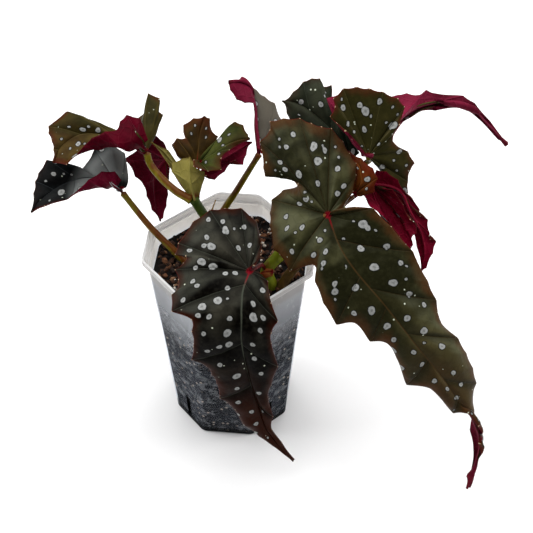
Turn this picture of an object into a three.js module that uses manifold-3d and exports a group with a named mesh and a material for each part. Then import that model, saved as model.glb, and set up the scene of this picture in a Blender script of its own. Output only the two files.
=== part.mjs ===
// A polka dot begonia in a clear nursery pot, in millimetres, +Z up.
// The origin is the middle of the pot's underside; -Y is the front.
import * as THREE from 'three';
import { mergeVertices } from 'three/addons/utils/BufferGeometryUtils.js';
import Module from 'manifold-3d';

const wasm = await Module();
wasm.setup();

// ---- Pot: square with cut corners, tapering, a stepped band at the rim ----
const POT_HEIGHT = 134;
const POT_TURN = THREE.MathUtils.degToRad(39.5);
const RIM_WIDTH = 90;
const RIM_CUT = 18.5;
const NECK_WIDTH = 87;
const NECK_CUT = 21;
const BASE_WIDTH = 74;
const BASE_CUT = 23;
const RIM_BAND = 4.2;
const WALL = 1.1;
const LIP_ROUND = 0.6;
const FLOOR = 1.6;
const SLOT_WIDTH = 4.4;
const SLOT_HEIGHT = 22;
const SLOT_DEPTH = 16;

// ---- Substrate ----
const SOIL_TOP = 121;
const SOIL_BASE = 2;
const BARK_COUNT = 42;
const BARK_REACH = 39;
const BARK_TILT = 0.7;
const BARK_ROOM = [-12, 8];

// ---- Plant ----
const BLADE_THICKNESS = 0.7;
const SEAT_GAP = 0.3;
const BLADE_ROOM = 0.4;
const CREASE = 0.3;
const PINCH_BEAD = 0.45;
const PINCH_ROUNDS = 6;
const SLIVER = 1e-4;
const SLACK = 0.12;
const FINE_SLACK = 0.02;
const STALK_SIDES = 8;
const ROWS = 2;

// ---- Sight frame ----
// Leaves and stalks are set out as they look from the front eye point, SIGHT away
// from AIM and LEAN above level: [right, up, near] in mm on the plane through AIM.
// A point further back spreads along its line of sight, as seen things do.
const AIM = new THREE.Vector3(22, 0, 120);
const SIGHT = 660;
const LEAN = THREE.MathUtils.degToRad(46);
const RIGHT = new THREE.Vector3(1, 0, 0);
const UP = new THREE.Vector3(0, Math.sin(LEAN), Math.cos(LEAN));
const NEAR = new THREE.Vector3(0, -Math.cos(LEAN), Math.sin(LEAN));

function seen([right, up, near]) {
  const spread = 1 - near / SIGHT;
  return AIM.clone()
    .addScaledVector(RIGHT, right * spread)
    .addScaledVector(UP, up * spread)
    .addScaledVector(NEAR, near);
}

// ---- Materials ----
function material(color, roughness, extra = {}) {
  return new THREE.MeshStandardMaterial({ color, roughness, metalness: 0, ...extra });
}

const clearPlastic = material(0xd9dcda, 0.25, { transparent: true, opacity: 0.5 });
const barkMix = material(0x2a201a, 0.95);
const darkBlade = material(0x26302a, 0.4);
const oliveBlade = material(0x3f4423, 0.45);
const greyBlade = material(0x394038, 0.45);
const crimsonBlade = material(0x6a0f22, 0.5);
const youngBlade = material(0x6b4a1c, 0.45);
const freshBlade = material(0x566026, 0.45);
const greenStem = material(0x5a7a28, 0.5);
const limeStem = material(0x93a534, 0.5);
const brownStem = material(0x5a4a22, 0.6);
const oliveStalk = material(0x66601f, 0.5);
const paleStipule = material(0xb5b05a, 0.55);

// ---- Solids ----
function shell(points, faces) {
  const geometry = new THREE.BufferGeometry();
  const flat = points.flatMap((p) => [p.x, p.y, p.z]);
  geometry.setAttribute('position', new THREE.Float32BufferAttribute(flat, 3));
  geometry.setIndex(faces.flat());
  return geometry;
}

function toSolid(geometry) {
  const bare = geometry.clone();
  bare.deleteAttribute('normal');
  bare.deleteAttribute('uv');
  const merged = mergeVertices(bare, 1e-3);
  return new wasm.Manifold(new wasm.Mesh({
    numProp: 3,
    vertProperties: new Float32Array(merged.attributes.position.array),
    triVerts: new Uint32Array(merged.index.array),
  }));
}

function toGeometry(solid) {
  const mesh = solid.getMesh();
  const geometry = new THREE.BufferGeometry();
  geometry.setAttribute('position', new THREE.BufferAttribute(mesh.vertProperties, 3));
  geometry.setIndex(new THREE.BufferAttribute(mesh.triVerts, 1));
  return geometry;
}

// The largest body of a solid, so that no loose scrap of a cut stays.
function mainBody(solid) {
  const bodies = solid.decompose();
  return bodies.reduce((best, body) => (body.volume() > best.volume() ? body : best));
}

// A solid's main body without slivers, settled on shared corners.
function tidied(solid, slack) {
  const once = toGeometry(mainBody(solid.setTolerance(slack)));
  return toGeometry(mainBody(toSolid(once)));
}

function clearOf(geometry, ...others) {
  let solid = toSolid(geometry);
  others.forEach((other) => {
    solid = solid.subtract(toSolid(other));
  });
  return tidied(solid, FINE_SLACK);
}

// ---- Pot and substrate ----
function cutSquare(width, cut, height) {
  const half = width / 2;
  const corners = [
    [half, -half + cut], [half, half - cut], [half - cut, half], [-half + cut, half],
    [-half, half - cut], [-half, -half + cut], [-half + cut, -half], [half - cut, -half],
  ];
  const spin = new THREE.Matrix4().makeRotationZ(POT_TURN);
  return corners.map(([x, y]) => new THREE.Vector3(x, y, height).applyMatrix4(spin));
}

// Closed skin over a stack of eight-cornered rings, capped at both ends.
function stack(rings) {
  const points = rings.flat();
  const sides = rings[0].length;
  const faces = [];
  for (let ring = 0; ring + 1 < rings.length; ring += 1) {
    for (let side = 0; side < sides; side += 1) {
      const a = ring * sides + side;
      const b = ring * sides + ((side + 1) % sides);
      faces.push([a, b, b + sides], [a, b + sides, a + sides]);
    }
  }
  const last = (rings.length - 1) * sides;
  for (let side = 1; side + 1 < sides; side += 1) {
    faces.push([0, side + 1, side], [last, last + side, last + side + 1]);
  }
  return shell(points, faces);
}

function bodyWidth(height) {
  return BASE_WIDTH + (NECK_WIDTH - BASE_WIDTH) * (height / (POT_HEIGHT - RIM_BAND));
}

function bodyCut(height) {
  return BASE_CUT + (NECK_CUT - BASE_CUT) * (height / (POT_HEIGHT - RIM_BAND));
}

// A ring of the pot's body, moved in from the outer face by inset.
function bodyRing(height, inset) {
  const cutShare = 2 - Math.SQRT2;
  return cutSquare(bodyWidth(height) - 2 * inset, bodyCut(height) - cutShare * inset, height);
}

function potGeometry() {
  const step = POT_HEIGHT - RIM_BAND;
  const cutShare = 2 - Math.SQRT2;
  const rimInset = WALL + LIP_ROUND;
  const rimInside = RIM_WIDTH - 2 * rimInset;
  const rimCut = RIM_CUT - cutShare * rimInset;
  const rings = [
    bodyRing(0, 0),
    bodyRing(step, 0),
    cutSquare(RIM_WIDTH, RIM_CUT, step),
    cutSquare(RIM_WIDTH, RIM_CUT, POT_HEIGHT),
    cutSquare(rimInside, rimCut, POT_HEIGHT),
    bodyRing(step - 1, WALL),
    bodyRing(FLOOR, WALL),
  ];
  let pot = toSolid(stack(rings));
  for (let side = 0; side < 4; side += 1) {
    const slot = new THREE.BoxGeometry(SLOT_WIDTH, SLOT_DEPTH, SLOT_HEIGHT);
    slot.translate(0, -BASE_WIDTH / 2, SLOT_HEIGHT / 2 + FLOOR);
    slot.rotateZ(POT_TURN + (side * Math.PI) / 2);
    pot = pot.subtract(toSolid(slot));
  }
  return toGeometry(pot);
}

function randomFrom(seed) {
  let state = seed;
  return () => {
    state = (state * 16807) % 2147483647;
    return state / 2147483647;
  };
}

// Bark pieces stand half out of the top, placed by a seeded draw.
function substrateGeometry(buried) {
  const inset = WALL + SEAT_GAP;
  let soil = toSolid(stack([bodyRing(SOIL_BASE, inset), bodyRing(SOIL_TOP, inset)]));
  const room = toSolid(stack(BARK_ROOM.map((rise) => bodyRing(SOIL_TOP + rise, inset))));
  const draw = randomFrom(20);
  for (let piece = 0; piece < BARK_COUNT; piece += 1) {
    const reach = BARK_REACH * Math.sqrt(draw());
    const angle = draw() * Math.PI * 2;
    const bark = new THREE.BoxGeometry(4 + 5 * draw(), 3 + 4 * draw(), 3 + 3 * draw());
    bark.rotateX(BARK_TILT * (draw() - 0.5));
    bark.rotateY(BARK_TILT * (draw() - 0.5));
    bark.rotateZ(draw() * Math.PI);
    const rise = 1.6 * (draw() - 0.5);
    bark.translate(reach * Math.cos(angle), reach * Math.sin(angle), SOIL_TOP + rise);
    soil = soil.add(toSolid(bark).intersect(room));
  }
  buried.forEach((root) => {
    soil = soil.subtract(toSolid(root));
  });
  return toGeometry(mainBody(soil));
}

// ---- Stems and leaf stalks ----
// Rings of a round stalk along a smooth curve, closed by flat ends.
function stalkGeometry(places, startRadius, endRadius, grow = 0) {
  const curve = new THREE.CatmullRomCurve3(places, false, 'centripetal');
  const steps = Math.max(3, Math.round(curve.getLength() / 9));
  const frames = curve.computeFrenetFrames(steps, false);
  const rings = [];
  for (let step = 0; step <= steps; step += 1) {
    const share = step / steps;
    const centre = curve.getPointAt(share);
    const radius = startRadius + (endRadius - startRadius) * share + grow;
    const ring = [];
    for (let side = 0; side < STALK_SIDES; side += 1) {
      const angle = (side / STALK_SIDES) * Math.PI * 2;
      ring.push(centre.clone()
        .addScaledVector(frames.normals[step], radius * Math.cos(angle))
        .addScaledVector(frames.binormals[step], radius * Math.sin(angle)));
    }
    rings.push(ring);
  }
  return stack(rings);
}

// ---- Leaf blades ----
// A blade is two half sheets that meet on the midrib. Each margin point ends a vein;
// the first ones of a half spring from the stalk's end, the rest along the rib.
function halfSheet(rib, margin, { fan, belly, taper, sweep }) {
  const tip = rib.getPointAt(1);
  const ends = [...margin.map(seen), tip];
  const lengths = [0];
  for (let end = 1; end < ends.length; end += 1) {
    lengths.push(lengths[end - 1] + ends[end].distanceTo(ends[end - 1]));
  }
  const start = lengths[fan];
  const full = lengths[lengths.length - 1];
  const shares = lengths.map((length) => {
    const share = Math.max(0, (length - start) / (full - start));
    return share ** sweep;
  });
  const rows = ends.map((end, index) => {
    const origin = rib.getPointAt(Math.min(1, shares[index]));
    const [swayRight, swayUp] = (margin[index] ?? []).slice(3);
    const row = [];
    for (let step = 1; step <= ROWS; step += 1) {
      const bow = Math.sin((Math.PI * step) / ROWS);
      row.push(origin.clone().lerp(end, step / ROWS)
        .addScaledVector(RIGHT, bow * (swayRight ?? 0))
        .addScaledVector(UP, bow * (swayUp ?? 0)));
    }
    return row;
  });
  const before = (index) => rows[Math.max(0, index - 1)][ROWS - 1];
  const after = (index) => rows[Math.min(rows.length - 1, index + 1)][ROWS - 1];
  const lifts = rows.map((row, index) => {
    const origin = rib.getPointAt(Math.min(1, shares[index]));
    const out = row[ROWS - 1].clone().sub(origin);
    const along = after(index).clone().sub(before(index));
    const lift = new THREE.Vector3().crossVectors(out, along);
    const reach = out.length();
    const rise = belly * reach * Math.max(0, 1 - shares[index]) ** taper;
    return lift.lengthSq() > 0 ? lift.normalize().multiplyScalar(rise) : lift;
  });
  rows.forEach((row, index) => {
    row.forEach((point, step) => {
      const bow = Math.sin((Math.PI * (step + 1)) / ROWS);
      point.addScaledVector(lifts[index], bow);
    });
  });
  return { rows, shares };
}

// Joins two lines of points, each with its own shares from 0 to 1, by triangles.
function zip(first, firstShares, second, secondShares) {
  const faces = [];
  let a = 0;
  let b = 0;
  while (a + 1 < first.length || b + 1 < second.length) {
    const stepFirst = b + 1 >= second.length
      || (a + 1 < first.length && firstShares[a + 1] <= secondShares[b + 1]);
    if (stepFirst) {
      faces.push([first[a], first[a + 1], second[b]]);
      a += 1;
    } else {
      faces.push([first[a], second[b + 1], second[b]]);
      b += 1;
    }
  }
  return faces.filter(([p, q, r]) => p !== q && q !== r && r !== p);
}

function bladeSheet(leaf) {
  const rib = new THREE.CatmullRomCurve3(leaf.rib.map(seen), false, 'centripetal');
  const ribSteps = leaf.rib.length * 2;
  const points = rib.getSpacedPoints(ribSteps);
  const tipIndex = ribSteps;
  const ribIndices = points.map((_, index) => index);
  const ribShares = ribIndices.map((index) => index / ribSteps);
  const faces = [];
  [['right', 1], ['left', -1]].forEach(([side, turn]) => {
    const form = {
      fan: leaf[`${side}Fan`],
      belly: turn * (leaf[`${side}Belly`] ?? 0.06),
      taper: leaf[`${side}Taper`] ?? 0,
      sweep: leaf[`${side}Sweep`] ?? 1.15,
    };
    const { rows, shares } = halfSheet(rib, leaf[side], form);
    const grid = rows.map((row, index) => row.map((point) => {
      if (index === rows.length - 1) {
        return tipIndex;
      }
      points.push(point);
      return points.length - 1;
    }));
    const sheet = zip(ribIndices, ribShares, grid.map((row) => row[0]), shares);
    for (let index = 0; index + 1 < grid.length; index += 1) {
      for (let step = 0; step + 1 < ROWS; step += 1) {
        const a = grid[index][step];
        const b = grid[index][step + 1];
        const c = grid[index + 1][step + 1];
        const d = grid[index + 1][step];
        sheet.push([a, c, b], [a, d, c]);
      }
    }
    sheet
      .filter(([a, b, c]) => a !== b && b !== c && c !== a)
      .forEach(([a, b, c]) => faces.push(turn > 0 ? [a, c, b] : [a, b, c]));
  });
  return { points, faces };
}

// One triangle of a blade, thickened both ways along its corners' normals. Walls
// are split alike from either side, so that neighbours meet without a gap.
function prism(corners, leans, ids, half) {
  const top = corners.map((corner, index) => corner.clone().addScaledVector(leans[index], half));
  const under = corners.map((corner, index) => corner.clone().addScaledVector(leans[index], -half));
  const faces = [[0, 1, 2], [3, 5, 4]];
  [[0, 1], [1, 2], [2, 0]].forEach(([p, q]) => {
    if (ids[p] < ids[q]) {
      faces.push([p, p + 3, q + 3], [p, q + 3, q]);
    } else {
      faces.push([p, p + 3, q], [p + 3, q + 3, q]);
    }
  });
  return toSolid(shell([...top, ...under], faces));
}

function bead(place, radius, detail = 0) {
  const ball = new THREE.IcosahedronGeometry(radius, detail);
  ball.translate(place.x, place.y, place.z);
  return toSolid(ball);
}

// Middles of the edges where a surface only touches itself.
function pinches(geometry) {
  const merged = mergeVertices(geometry, 1e-3);
  const corner = (index) => new THREE.Vector3().fromBufferAttribute(
    merged.attributes.position,
    index,
  );
  const uses = new Map();
  const order = merged.index.array;
  for (let first = 0; first < order.length; first += 3) {
    for (let side = 0; side < 3; side += 1) {
      const ends = [order[first + side], order[first + ((side + 1) % 3)]];
      const key = `${Math.min(...ends)} ${Math.max(...ends)}`;
      uses.set(key, { ends, count: (uses.get(key)?.count ?? 0) + 1 });
    }
  }
  return [...uses.values()]
    .filter(({ count }) => count > 2)
    .map(({ ends }) => corner(ends[0]).lerp(corner(ends[1]), 0.5));
}

// Places where the blade only touches itself are bridged by small beads.
function bladeGeometry(leaf, grow = 0) {
  const { points, faces } = bladeSheet(leaf);
  const normals = points.map(() => new THREE.Vector3());
  faces.forEach(([a, b, c]) => {
    const out = new THREE.Vector3().crossVectors(
      points[b].clone().sub(points[a]),
      points[c].clone().sub(points[a]),
    );
    [a, b, c].forEach((index) => normals[index].add(out));
  });
  normals.forEach((normal) => normal.normalize());
  const half = BLADE_THICKNESS / 2 + grow;
  const pieces = [bead(seen(leaf.rib[0]), leaf.knob + grow, 1)];
  faces.forEach((face) => {
    const corners = face.map((index) => points[index]);
    const flat = new THREE.Vector3().crossVectors(
      corners[1].clone().sub(corners[0]),
      corners[2].clone().sub(corners[0]),
    );
    if (flat.length() < SLIVER) {
      return;
    }
    flat.normalize();
    const leans = face
      .map((index) => normals[index])
      .map((normal) => (normal.dot(flat) > CREASE ? normal : flat));
    pieces.push(prism(corners, leans, face, half));
  });
  let blade = tidied(wasm.Manifold.union(pieces), SLACK);
  for (let round = 0; round < PINCH_ROUNDS; round += 1) {
    const beads = pinches(blade).map((place) => bead(place, PINCH_BEAD + grow));
    if (beads.length > 0) {
      blade = tidied(wasm.Manifold.union([toSolid(blade), ...beads]), SLACK);
    }
  }
  return blade;
}

// ---- The leaves: rib from the stalk's end to the tip; margins from the notch at the
// stalk, round the lobe, to just before the tip; left and right as on the upper side;
// knob is the radius of the swelling where they meet the stalk ----
const LEAVES = {
  front: {
    look: darkBlade,
    knob: 1.8,
    rib: [
      [-10, -3, 45], [-14, -14, 51], [-15, -25, 55], [-15, -34, 55], [-15, -44, 49],
      [-11, -64, 29], [-3, -85, 5], [6, -100, -12], [16, -115, -30],
    ],
    leftFan: 3,
    left: [
      [-4, -5, 45], [1, -9, 48], [2, -17, 52], [3, -22, 54], [7, -33, 53], [3, -40, 50],
      [3, -46, 45], [7, -60, 31], [3, -71, 20], [1, -78, 14], [4, -90, 1], [3, -97, -8],
      [9, -105, -18],
    ],
    rightFan: 14,
    right: [
      [-7, 0, 46], [-3, 7, 44], [-3, 14, 40], [-6, 27, 34], [-15, 35, 29], [-25, 35, 28],
      [-34, 34, 27], [-44, 27, 26], [-53, 14, 28], [-55, 7, 30], [-48, 6, 34],
      [-50, 2, 34], [-55, -2, 34], [-53, -8, 38], [-54, -14, 41], [-57, -17, 42],
      [-57, -27, 46], [-45, -32, 52], [-45, -39, 49], [-44, -48, 42], [-45, -56, 34],
      [-36, -60, 32], [-33, -65, 27], [-30, -70, 22], [-28, -79, 12], [-22, -83, 8],
      [-14, -95, -6], [-5, -101, -14],
    ],
  },
  great: {
    look: oliveBlade,
    knob: 2.6,
    rib: [
      [37, 31, 56], [44, 12, 60], [53, -2, 62], [70, -22, 60], [88, -45, 50],
      [105, -66, 34], [116, -82, 19], [122, -88, 11], [126, -97, 2], [128, -107, -7],
      [125, -118, -15], [120, -132, -22],
    ],
    leftFan: 3,
    left: [
      [42, 33, 58], [54, 36, 62], [64, 35, 63], [75, 24, 62], [88, 9, 58], [97, -9, 51],
      [102, -20, 46], [105, -34, 40], [115, -43, 32], [120, -52, 27], [124, -61, 20],
      [126, -70, 14], [124, -77, 10], [124, -87, 5], [122, -98, -5], [124, -108, -11],
      [123, -121, -19],
    ],
    rightFan: 27,
    right: [
      [41, 34, 56], [47, 37, 57], [52, 45, 57], [54, 55, 57], [54, 62, 56], [50, 68, 55],
      [46, 75, 53], [39, 83, 50], [33, 84, 49], [27, 86, 48], [20, 89, 46], [10, 89, 45],
      [2, 87, 43, 1, 1], [2, 82, 43, 1, 1], [-4, 75, 40, 2, 2], [-3, 70, 40, 2, 4],
      [-2, 59, 40, 3, 7], [-1, 54, 40, 4, 8], [7, 55, 42, 2, 6], [13, 54, 46, 0, 3],
      [19, 49, 48], [10, 46, 34], [3, 40, 30], [2, 32, 31],
      [2, 25, 33], [4, 10, 38], [8, 7, 41], [14, -3, 44], [28, 1, 52], [30, -2, 53],
      [29, -9, 54], [34, -22, 53], [42, -35, 49], [53, -34, 53], [62, -45, 46],
      [72, -46, 48], [78, -55, 40], [84, -71, 25], [98, -73, 26], [112, -88, 12],
      [120, -88, 15], [127, -96, 7], [130, -100, 1], [127, -106, -4], [129, -113, -10],
      [126, -120, -16],
    ],
  },
  arching: {
    look: oliveBlade,
    knob: 2.8,
    rib: [
      [61, 66, 58], [66, 74, 48], [75, 87, 40], [90, 98, 36], [106, 99.5, 34],
      [121, 97.5, 30], [132, 86.5, 24], [145, 73, 16],
    ],
    leftFan: 10,
    left: [
      [57, 66, 55], [54, 73, 52], [48, 80, 50], [42, 86, 48], [36, 101, 46],
      [45, 104, 43], [54, 103, 41], [66, 101, 39], [79, 103, 37], [84, 104, 36],
      [92, 103, 36], [96, 106, 35], [101, 104, 33], [118, 102.5, 29], [125, 98, 27],
      [135, 86, 22],
    ],
    rightFan: 24,
    rightBelly: 0.01,
    right: [
      [52, 76, 62], [47, 81, 64], [42, 86, 65], [38, 90, 65], [41, 96, 66],
      [40, 101, 66], [46, 107, 66], [54, 108, 66], [62, 107, 66], [70, 105, 66],
      [79, 101, 64], [83, 96, 62], [80, 85, 62], [76, 79, 60], [77, 74, 55], [85, 69, 50],
      [89, 62, 46], [87, 59, 46], [85, 51, 42], [85, 44, 38], [80, 42, 31], [78, 52, 26],
      [76, 64, 24], [76, 78, 26], [79, 83, 28], [85, 90, 31], [95, 95, 33],
      [106, 96, 32], [120, 94.5, 28], [130, 86, 22], [139, 76, 17],
    ],
  },
  hidden: {
    look: greyBlade,
    knob: 2.2,
    rib: [[51, 64, 36], [40, 80, 34], [28, 92, 31], [18, 98, 28], [10, 99, 26]],
    leftFan: 3,
    left: [[46, 62, 34], [36, 66, 30], [25, 75, 28], [15, 85, 26], [12, 92, 25]],
    rightFan: 4,
    right: [
      [56, 68, 36], [52, 78, 35], [45, 88, 34], [41, 94, 33], [39, 101, 31],
      [39, 109, 27], [34, 108, 22], [33, 106, 30], [32, 113, 33], [27, 113, 32],
      [22, 111, 31], [16, 105, 29],
    ],
  },
  slit: {
    look: crimsonBlade,
    knob: 2,
    rib: [[62, 50, 48], [80, 45, 51], [87, 32, 46], [93, 20, 41], [95, 8, 38], [93, -3, 36]],
    leftFan: 13,
    left: [
      [58, 43, 51], [62, 36, 54], [71, 29, 55], [80, 18, 53], [86, 9, 50], [88, 13, 52],
      [87, 17, 53], [90, 20, 53], [90, 25, 54], [86, 28, 54], [82, 37, 55], [78, 43, 55],
      [76, 46, 56], [74, 46, 50], [77, 42, 46], [82, 35, 44], [87, 25, 41], [90, 12, 38],
    ],
    rightFan: 2,
    right: [
      [66, 58, 54], [72, 57, 56], [79, 52, 55], [83, 45, 53], [88, 40, 49], [92, 34, 46],
      [92, 30, 45], [97, 28, 44], [97, 23, 43], [98, 20, 42], [98, 16, 41], [102, 15, 40],
      [100, 8, 39], [96, -1, 37],
    ],
  },
  small: {
    look: youngBlade,
    knob: 1.4,
    rib: [[53, 43, 51.5], [57, 50, 56], [56, 60, 57], [50, 69, 51]],
    leftFan: 2,
    left: [[51, 44, 51], [52, 47, 51], [53, 53, 52], [53, 60, 52], [51, 65, 51]],
    rightFan: 3,
    right: [
      [57, 42, 54], [65, 45, 59], [65, 49, 61], [67, 53, 62], [64, 59, 61], [57, 65, 57],
    ],
  },
  upright: {
    look: crimsonBlade,
    knob: 2.2,
    rib: [
      [-4, 68, 10], [-6, 83, 7], [-7, 99, 7], [-10, 107, 10], [-16, 110, 14],
      [-23, 110, 18],
    ],
    leftFan: 0,
    leftSweep: 1,
    left: [
      [-6, 71, 12], [-7, 84, 12], [-8, 98, 13], [-13, 98, 16], [-18, 100, 18],
      [-22, 106, 19],
    ],
    rightFan: 4,
    right: [
      [0, 68, 6], [10, 72, -2], [18, 82, -8], [9, 88, -4], [5, 98, -4], [-1, 102, -1],
      [-6, 106, 3], [-10, 110, 7], [-15, 114, 11], [-19, 111, 15],
    ],
  },
  low: {
    look: crimsonBlade,
    knob: 2.2,
    rib: [
      [-87, 46, 10], [-97, 52, 4], [-110, 53, 3], [-124, 48, 8], [-135, 40, 13],
      [-141, 32, 16],
    ],
    leftFan: 2,
    leftBelly: -0.58,
    leftTaper: 2.5,
    left: [
      [-87, 52, 15], [-91, 57, 17], [-99, 57, 19], [-107, 52, 20],
      [-113, 46, 21], [-120, 40, 21], [-133, 36, 19],
    ],
    rightFan: 4,
    right: [
      [-85, 48, 7], [-84, 57, 2], [-85, 68, -3], [-94, 74, -6], [-103, 71, -7],
      [-108, 62, -5], [-115, 56, -3], [-120, 57, -1], [-121, 61, 0], [-132, 64, 3],
      [-137, 56, 7], [-139, 51, 9], [-140, 44, 12],
    ],
  },
  high: {
    look: crimsonBlade,
    knob: 2.6,
    rib: [
      [-72, 69, 20], [-84, 75, 15], [-97, 79, 13], [-112, 79, 14], [-123, 72, 18],
      [-128, 62, 22],
    ],
    leftFan: 4,
    leftBelly: -0.5,
    leftTaper: 0.9,
    left: [
      [-71, 76, 25], [-76, 89, 27], [-84, 91, 28], [-88, 87, 29],
      [-90, 82, 30], [-97, 81, 31], [-105, 77, 31], [-110, 72, 31], [-114, 67, 30],
      [-120, 61, 28],
    ],
    rightFan: 9,
    right: [
      [-68, 78, 15], [-67, 86, 12], [-62, 91, 10], [-66, 95, 9],
      [-64, 101, 6], [-71, 104, 6], [-72, 94, 4], [-76, 90, 3], [-84, 84, 0],
      [-96, 79, 1], [-109, 86, 4], [-115, 91, 5], [-115, 87, 8], [-120, 93, 8],
      [-131, 84, 12], [-131, 80, 14], [-129, 75, 17], [-128, 70, 19],
    ],
  },
  hanging: {
    look: crimsonBlade,
    knob: 1.7,
    rib: [[-60, 64, 6], [-66, 56, 3], [-67, 45, 1], [-66, 35, 0], [-64, 27, 0]],
    leftFan: 4,
    left: [
      [-62, 75, 3], [-67, 79, 0], [-75, 72, -4], [-86, 64, -10], [-83, 62, -10],
      [-79, 54, -7], [-74, 49, -4], [-72, 42, -2], [-69, 34, -1],
    ],
    rightFan: 2,
    right: [
      [-58, 61, 7], [-59, 53, 5], [-60, 48, 4], [-59, 43, 3], [-60, 36, 2], [-62, 29, 1],
    ],
  },
  unfolding_brown: {
    look: youngBlade,
    knob: 1.2,
    rib: [[-42, 60, 13], [-41, 70, 12], [-40, 81, 10], [-37, 90, 9]],
    leftFan: 5,
    left: [
      [-47, 62, 12], [-54, 67, 12], [-57, 73, 13], [-54, 77, 13], [-49, 77, 11],
      [-50, 81, 9], [-50, 85, 7], [-44, 89, 7],
    ],
    rightFan: 2,
    right: [[-38, 65, 11], [-35, 71, 9], [-29, 78, 8], [-33, 82, 7], [-34, 89, 8]],
  },
  unfolding_green: {
    look: freshBlade,
    knob: 1.2,
    rib: [[-40, 62, 20], [-32, 67, 24], [-21, 74, 26], [-10, 76, 24]],
    leftFan: 2,
    left: [
      [-38, 67, 19], [-31, 74, 18], [-23, 82, 17], [-19, 87, 16], [-14, 85, 17],
      [-11, 79, 21],
    ],
    rightFan: 4,
    right: [
      [-44, 64, 24], [-44, 60, 27], [-35, 57, 31], [-27, 58, 32], [-27, 65, 30],
      [-22, 70, 29],
    ],
  },
  unfolding_red: {
    look: crimsonBlade,
    knob: 1.2,
    rib: [[-39, 57, 12], [-31, 61, 13], [-21, 67, 13], [-9, 75, 13]],
    leftFan: 2,
    left: [
      [-36, 55, 14], [-31, 52, 15], [-25, 57, 15], [-19, 64, 14], [-14, 61, 15],
      [-12, 67, 14],
    ],
    rightFan: 2,
    right: [[-37, 61, 10], [-31, 67, 9], [-21, 73, 9], [-14, 76, 11]],
  },
  sheath: {
    look: paleStipule,
    knob: 1.2,
    rib: [[-43, 40, 19], [-45, 49, 24], [-46, 57, 24.5], [-46, 66, 21]],
    leftFan: 1,
    left: [
      [-40, 41, 17], [-39, 47, 20], [-37, 53, 21], [-37, 57, 21], [-42, 59, 21],
      [-44, 63, 20.5],
    ],
    rightFan: 1,
    right: [
      [-47, 42, 18], [-50, 47, 19], [-54, 53, 19], [-57, 57, 19], [-57, 62, 19],
      [-50, 65, 20],
    ],
  },
  bract: {
    look: paleStipule,
    knob: 0.9,
    rib: [[-44, 42, 14], [-50, 52, 14.5], [-61, 68, 20], [-69, 75, 21]],
    leftFan: 1,
    left: [[-43, 44, 13], [-48, 54, 13], [-59, 70, 18]],
    rightFan: 1,
    right: [[-46, 43, 13], [-54, 53, 15], [-62, 66, 21]],
  },
  node_scale: {
    look: paleStipule,
    knob: 0.8,
    rib: [[4, -3, 21.5], [0, -3, 22.5], [-4, -4, 22]],
    leftFan: 1,
    left: [[3, -6, 20], [-1, -7, 20]],
    rightFan: 1,
    right: [[3, 0, 22], [0, 0, 22.5]],
  },
};

// Stipules clasp the stem of this name, and are hollowed where they meet it.
const CLASPED = { sheath: 'left', bract: 'left', node_scale: 'right' };

// ---- Stems: path from the buried end up, radius at each end ----
const STEMS = {
  left: {
    look: greenStem,
    path: [[-25, -3, -24], [-25, 11, -10], [-37, 30, 7], [-44, 41, 17]],
    radius: [3, 2.8],
  },
  right: {
    look: limeStem,
    path: [
      [3, -25, -3], [3, -11, 12], [0, -3, 18], [7, 6, 24], [22, 20, 34], [36, 30, 43],
      [46, 37, 46],
    ],
    radius: [4, 2.6],
  },
  old: {
    look: brownStem,
    path: [[6, -24, -1], [9, -12, 13], [15, -3, 14], [22, 6, 15]],
    radius: [3.4, 3],
  },
};

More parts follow.
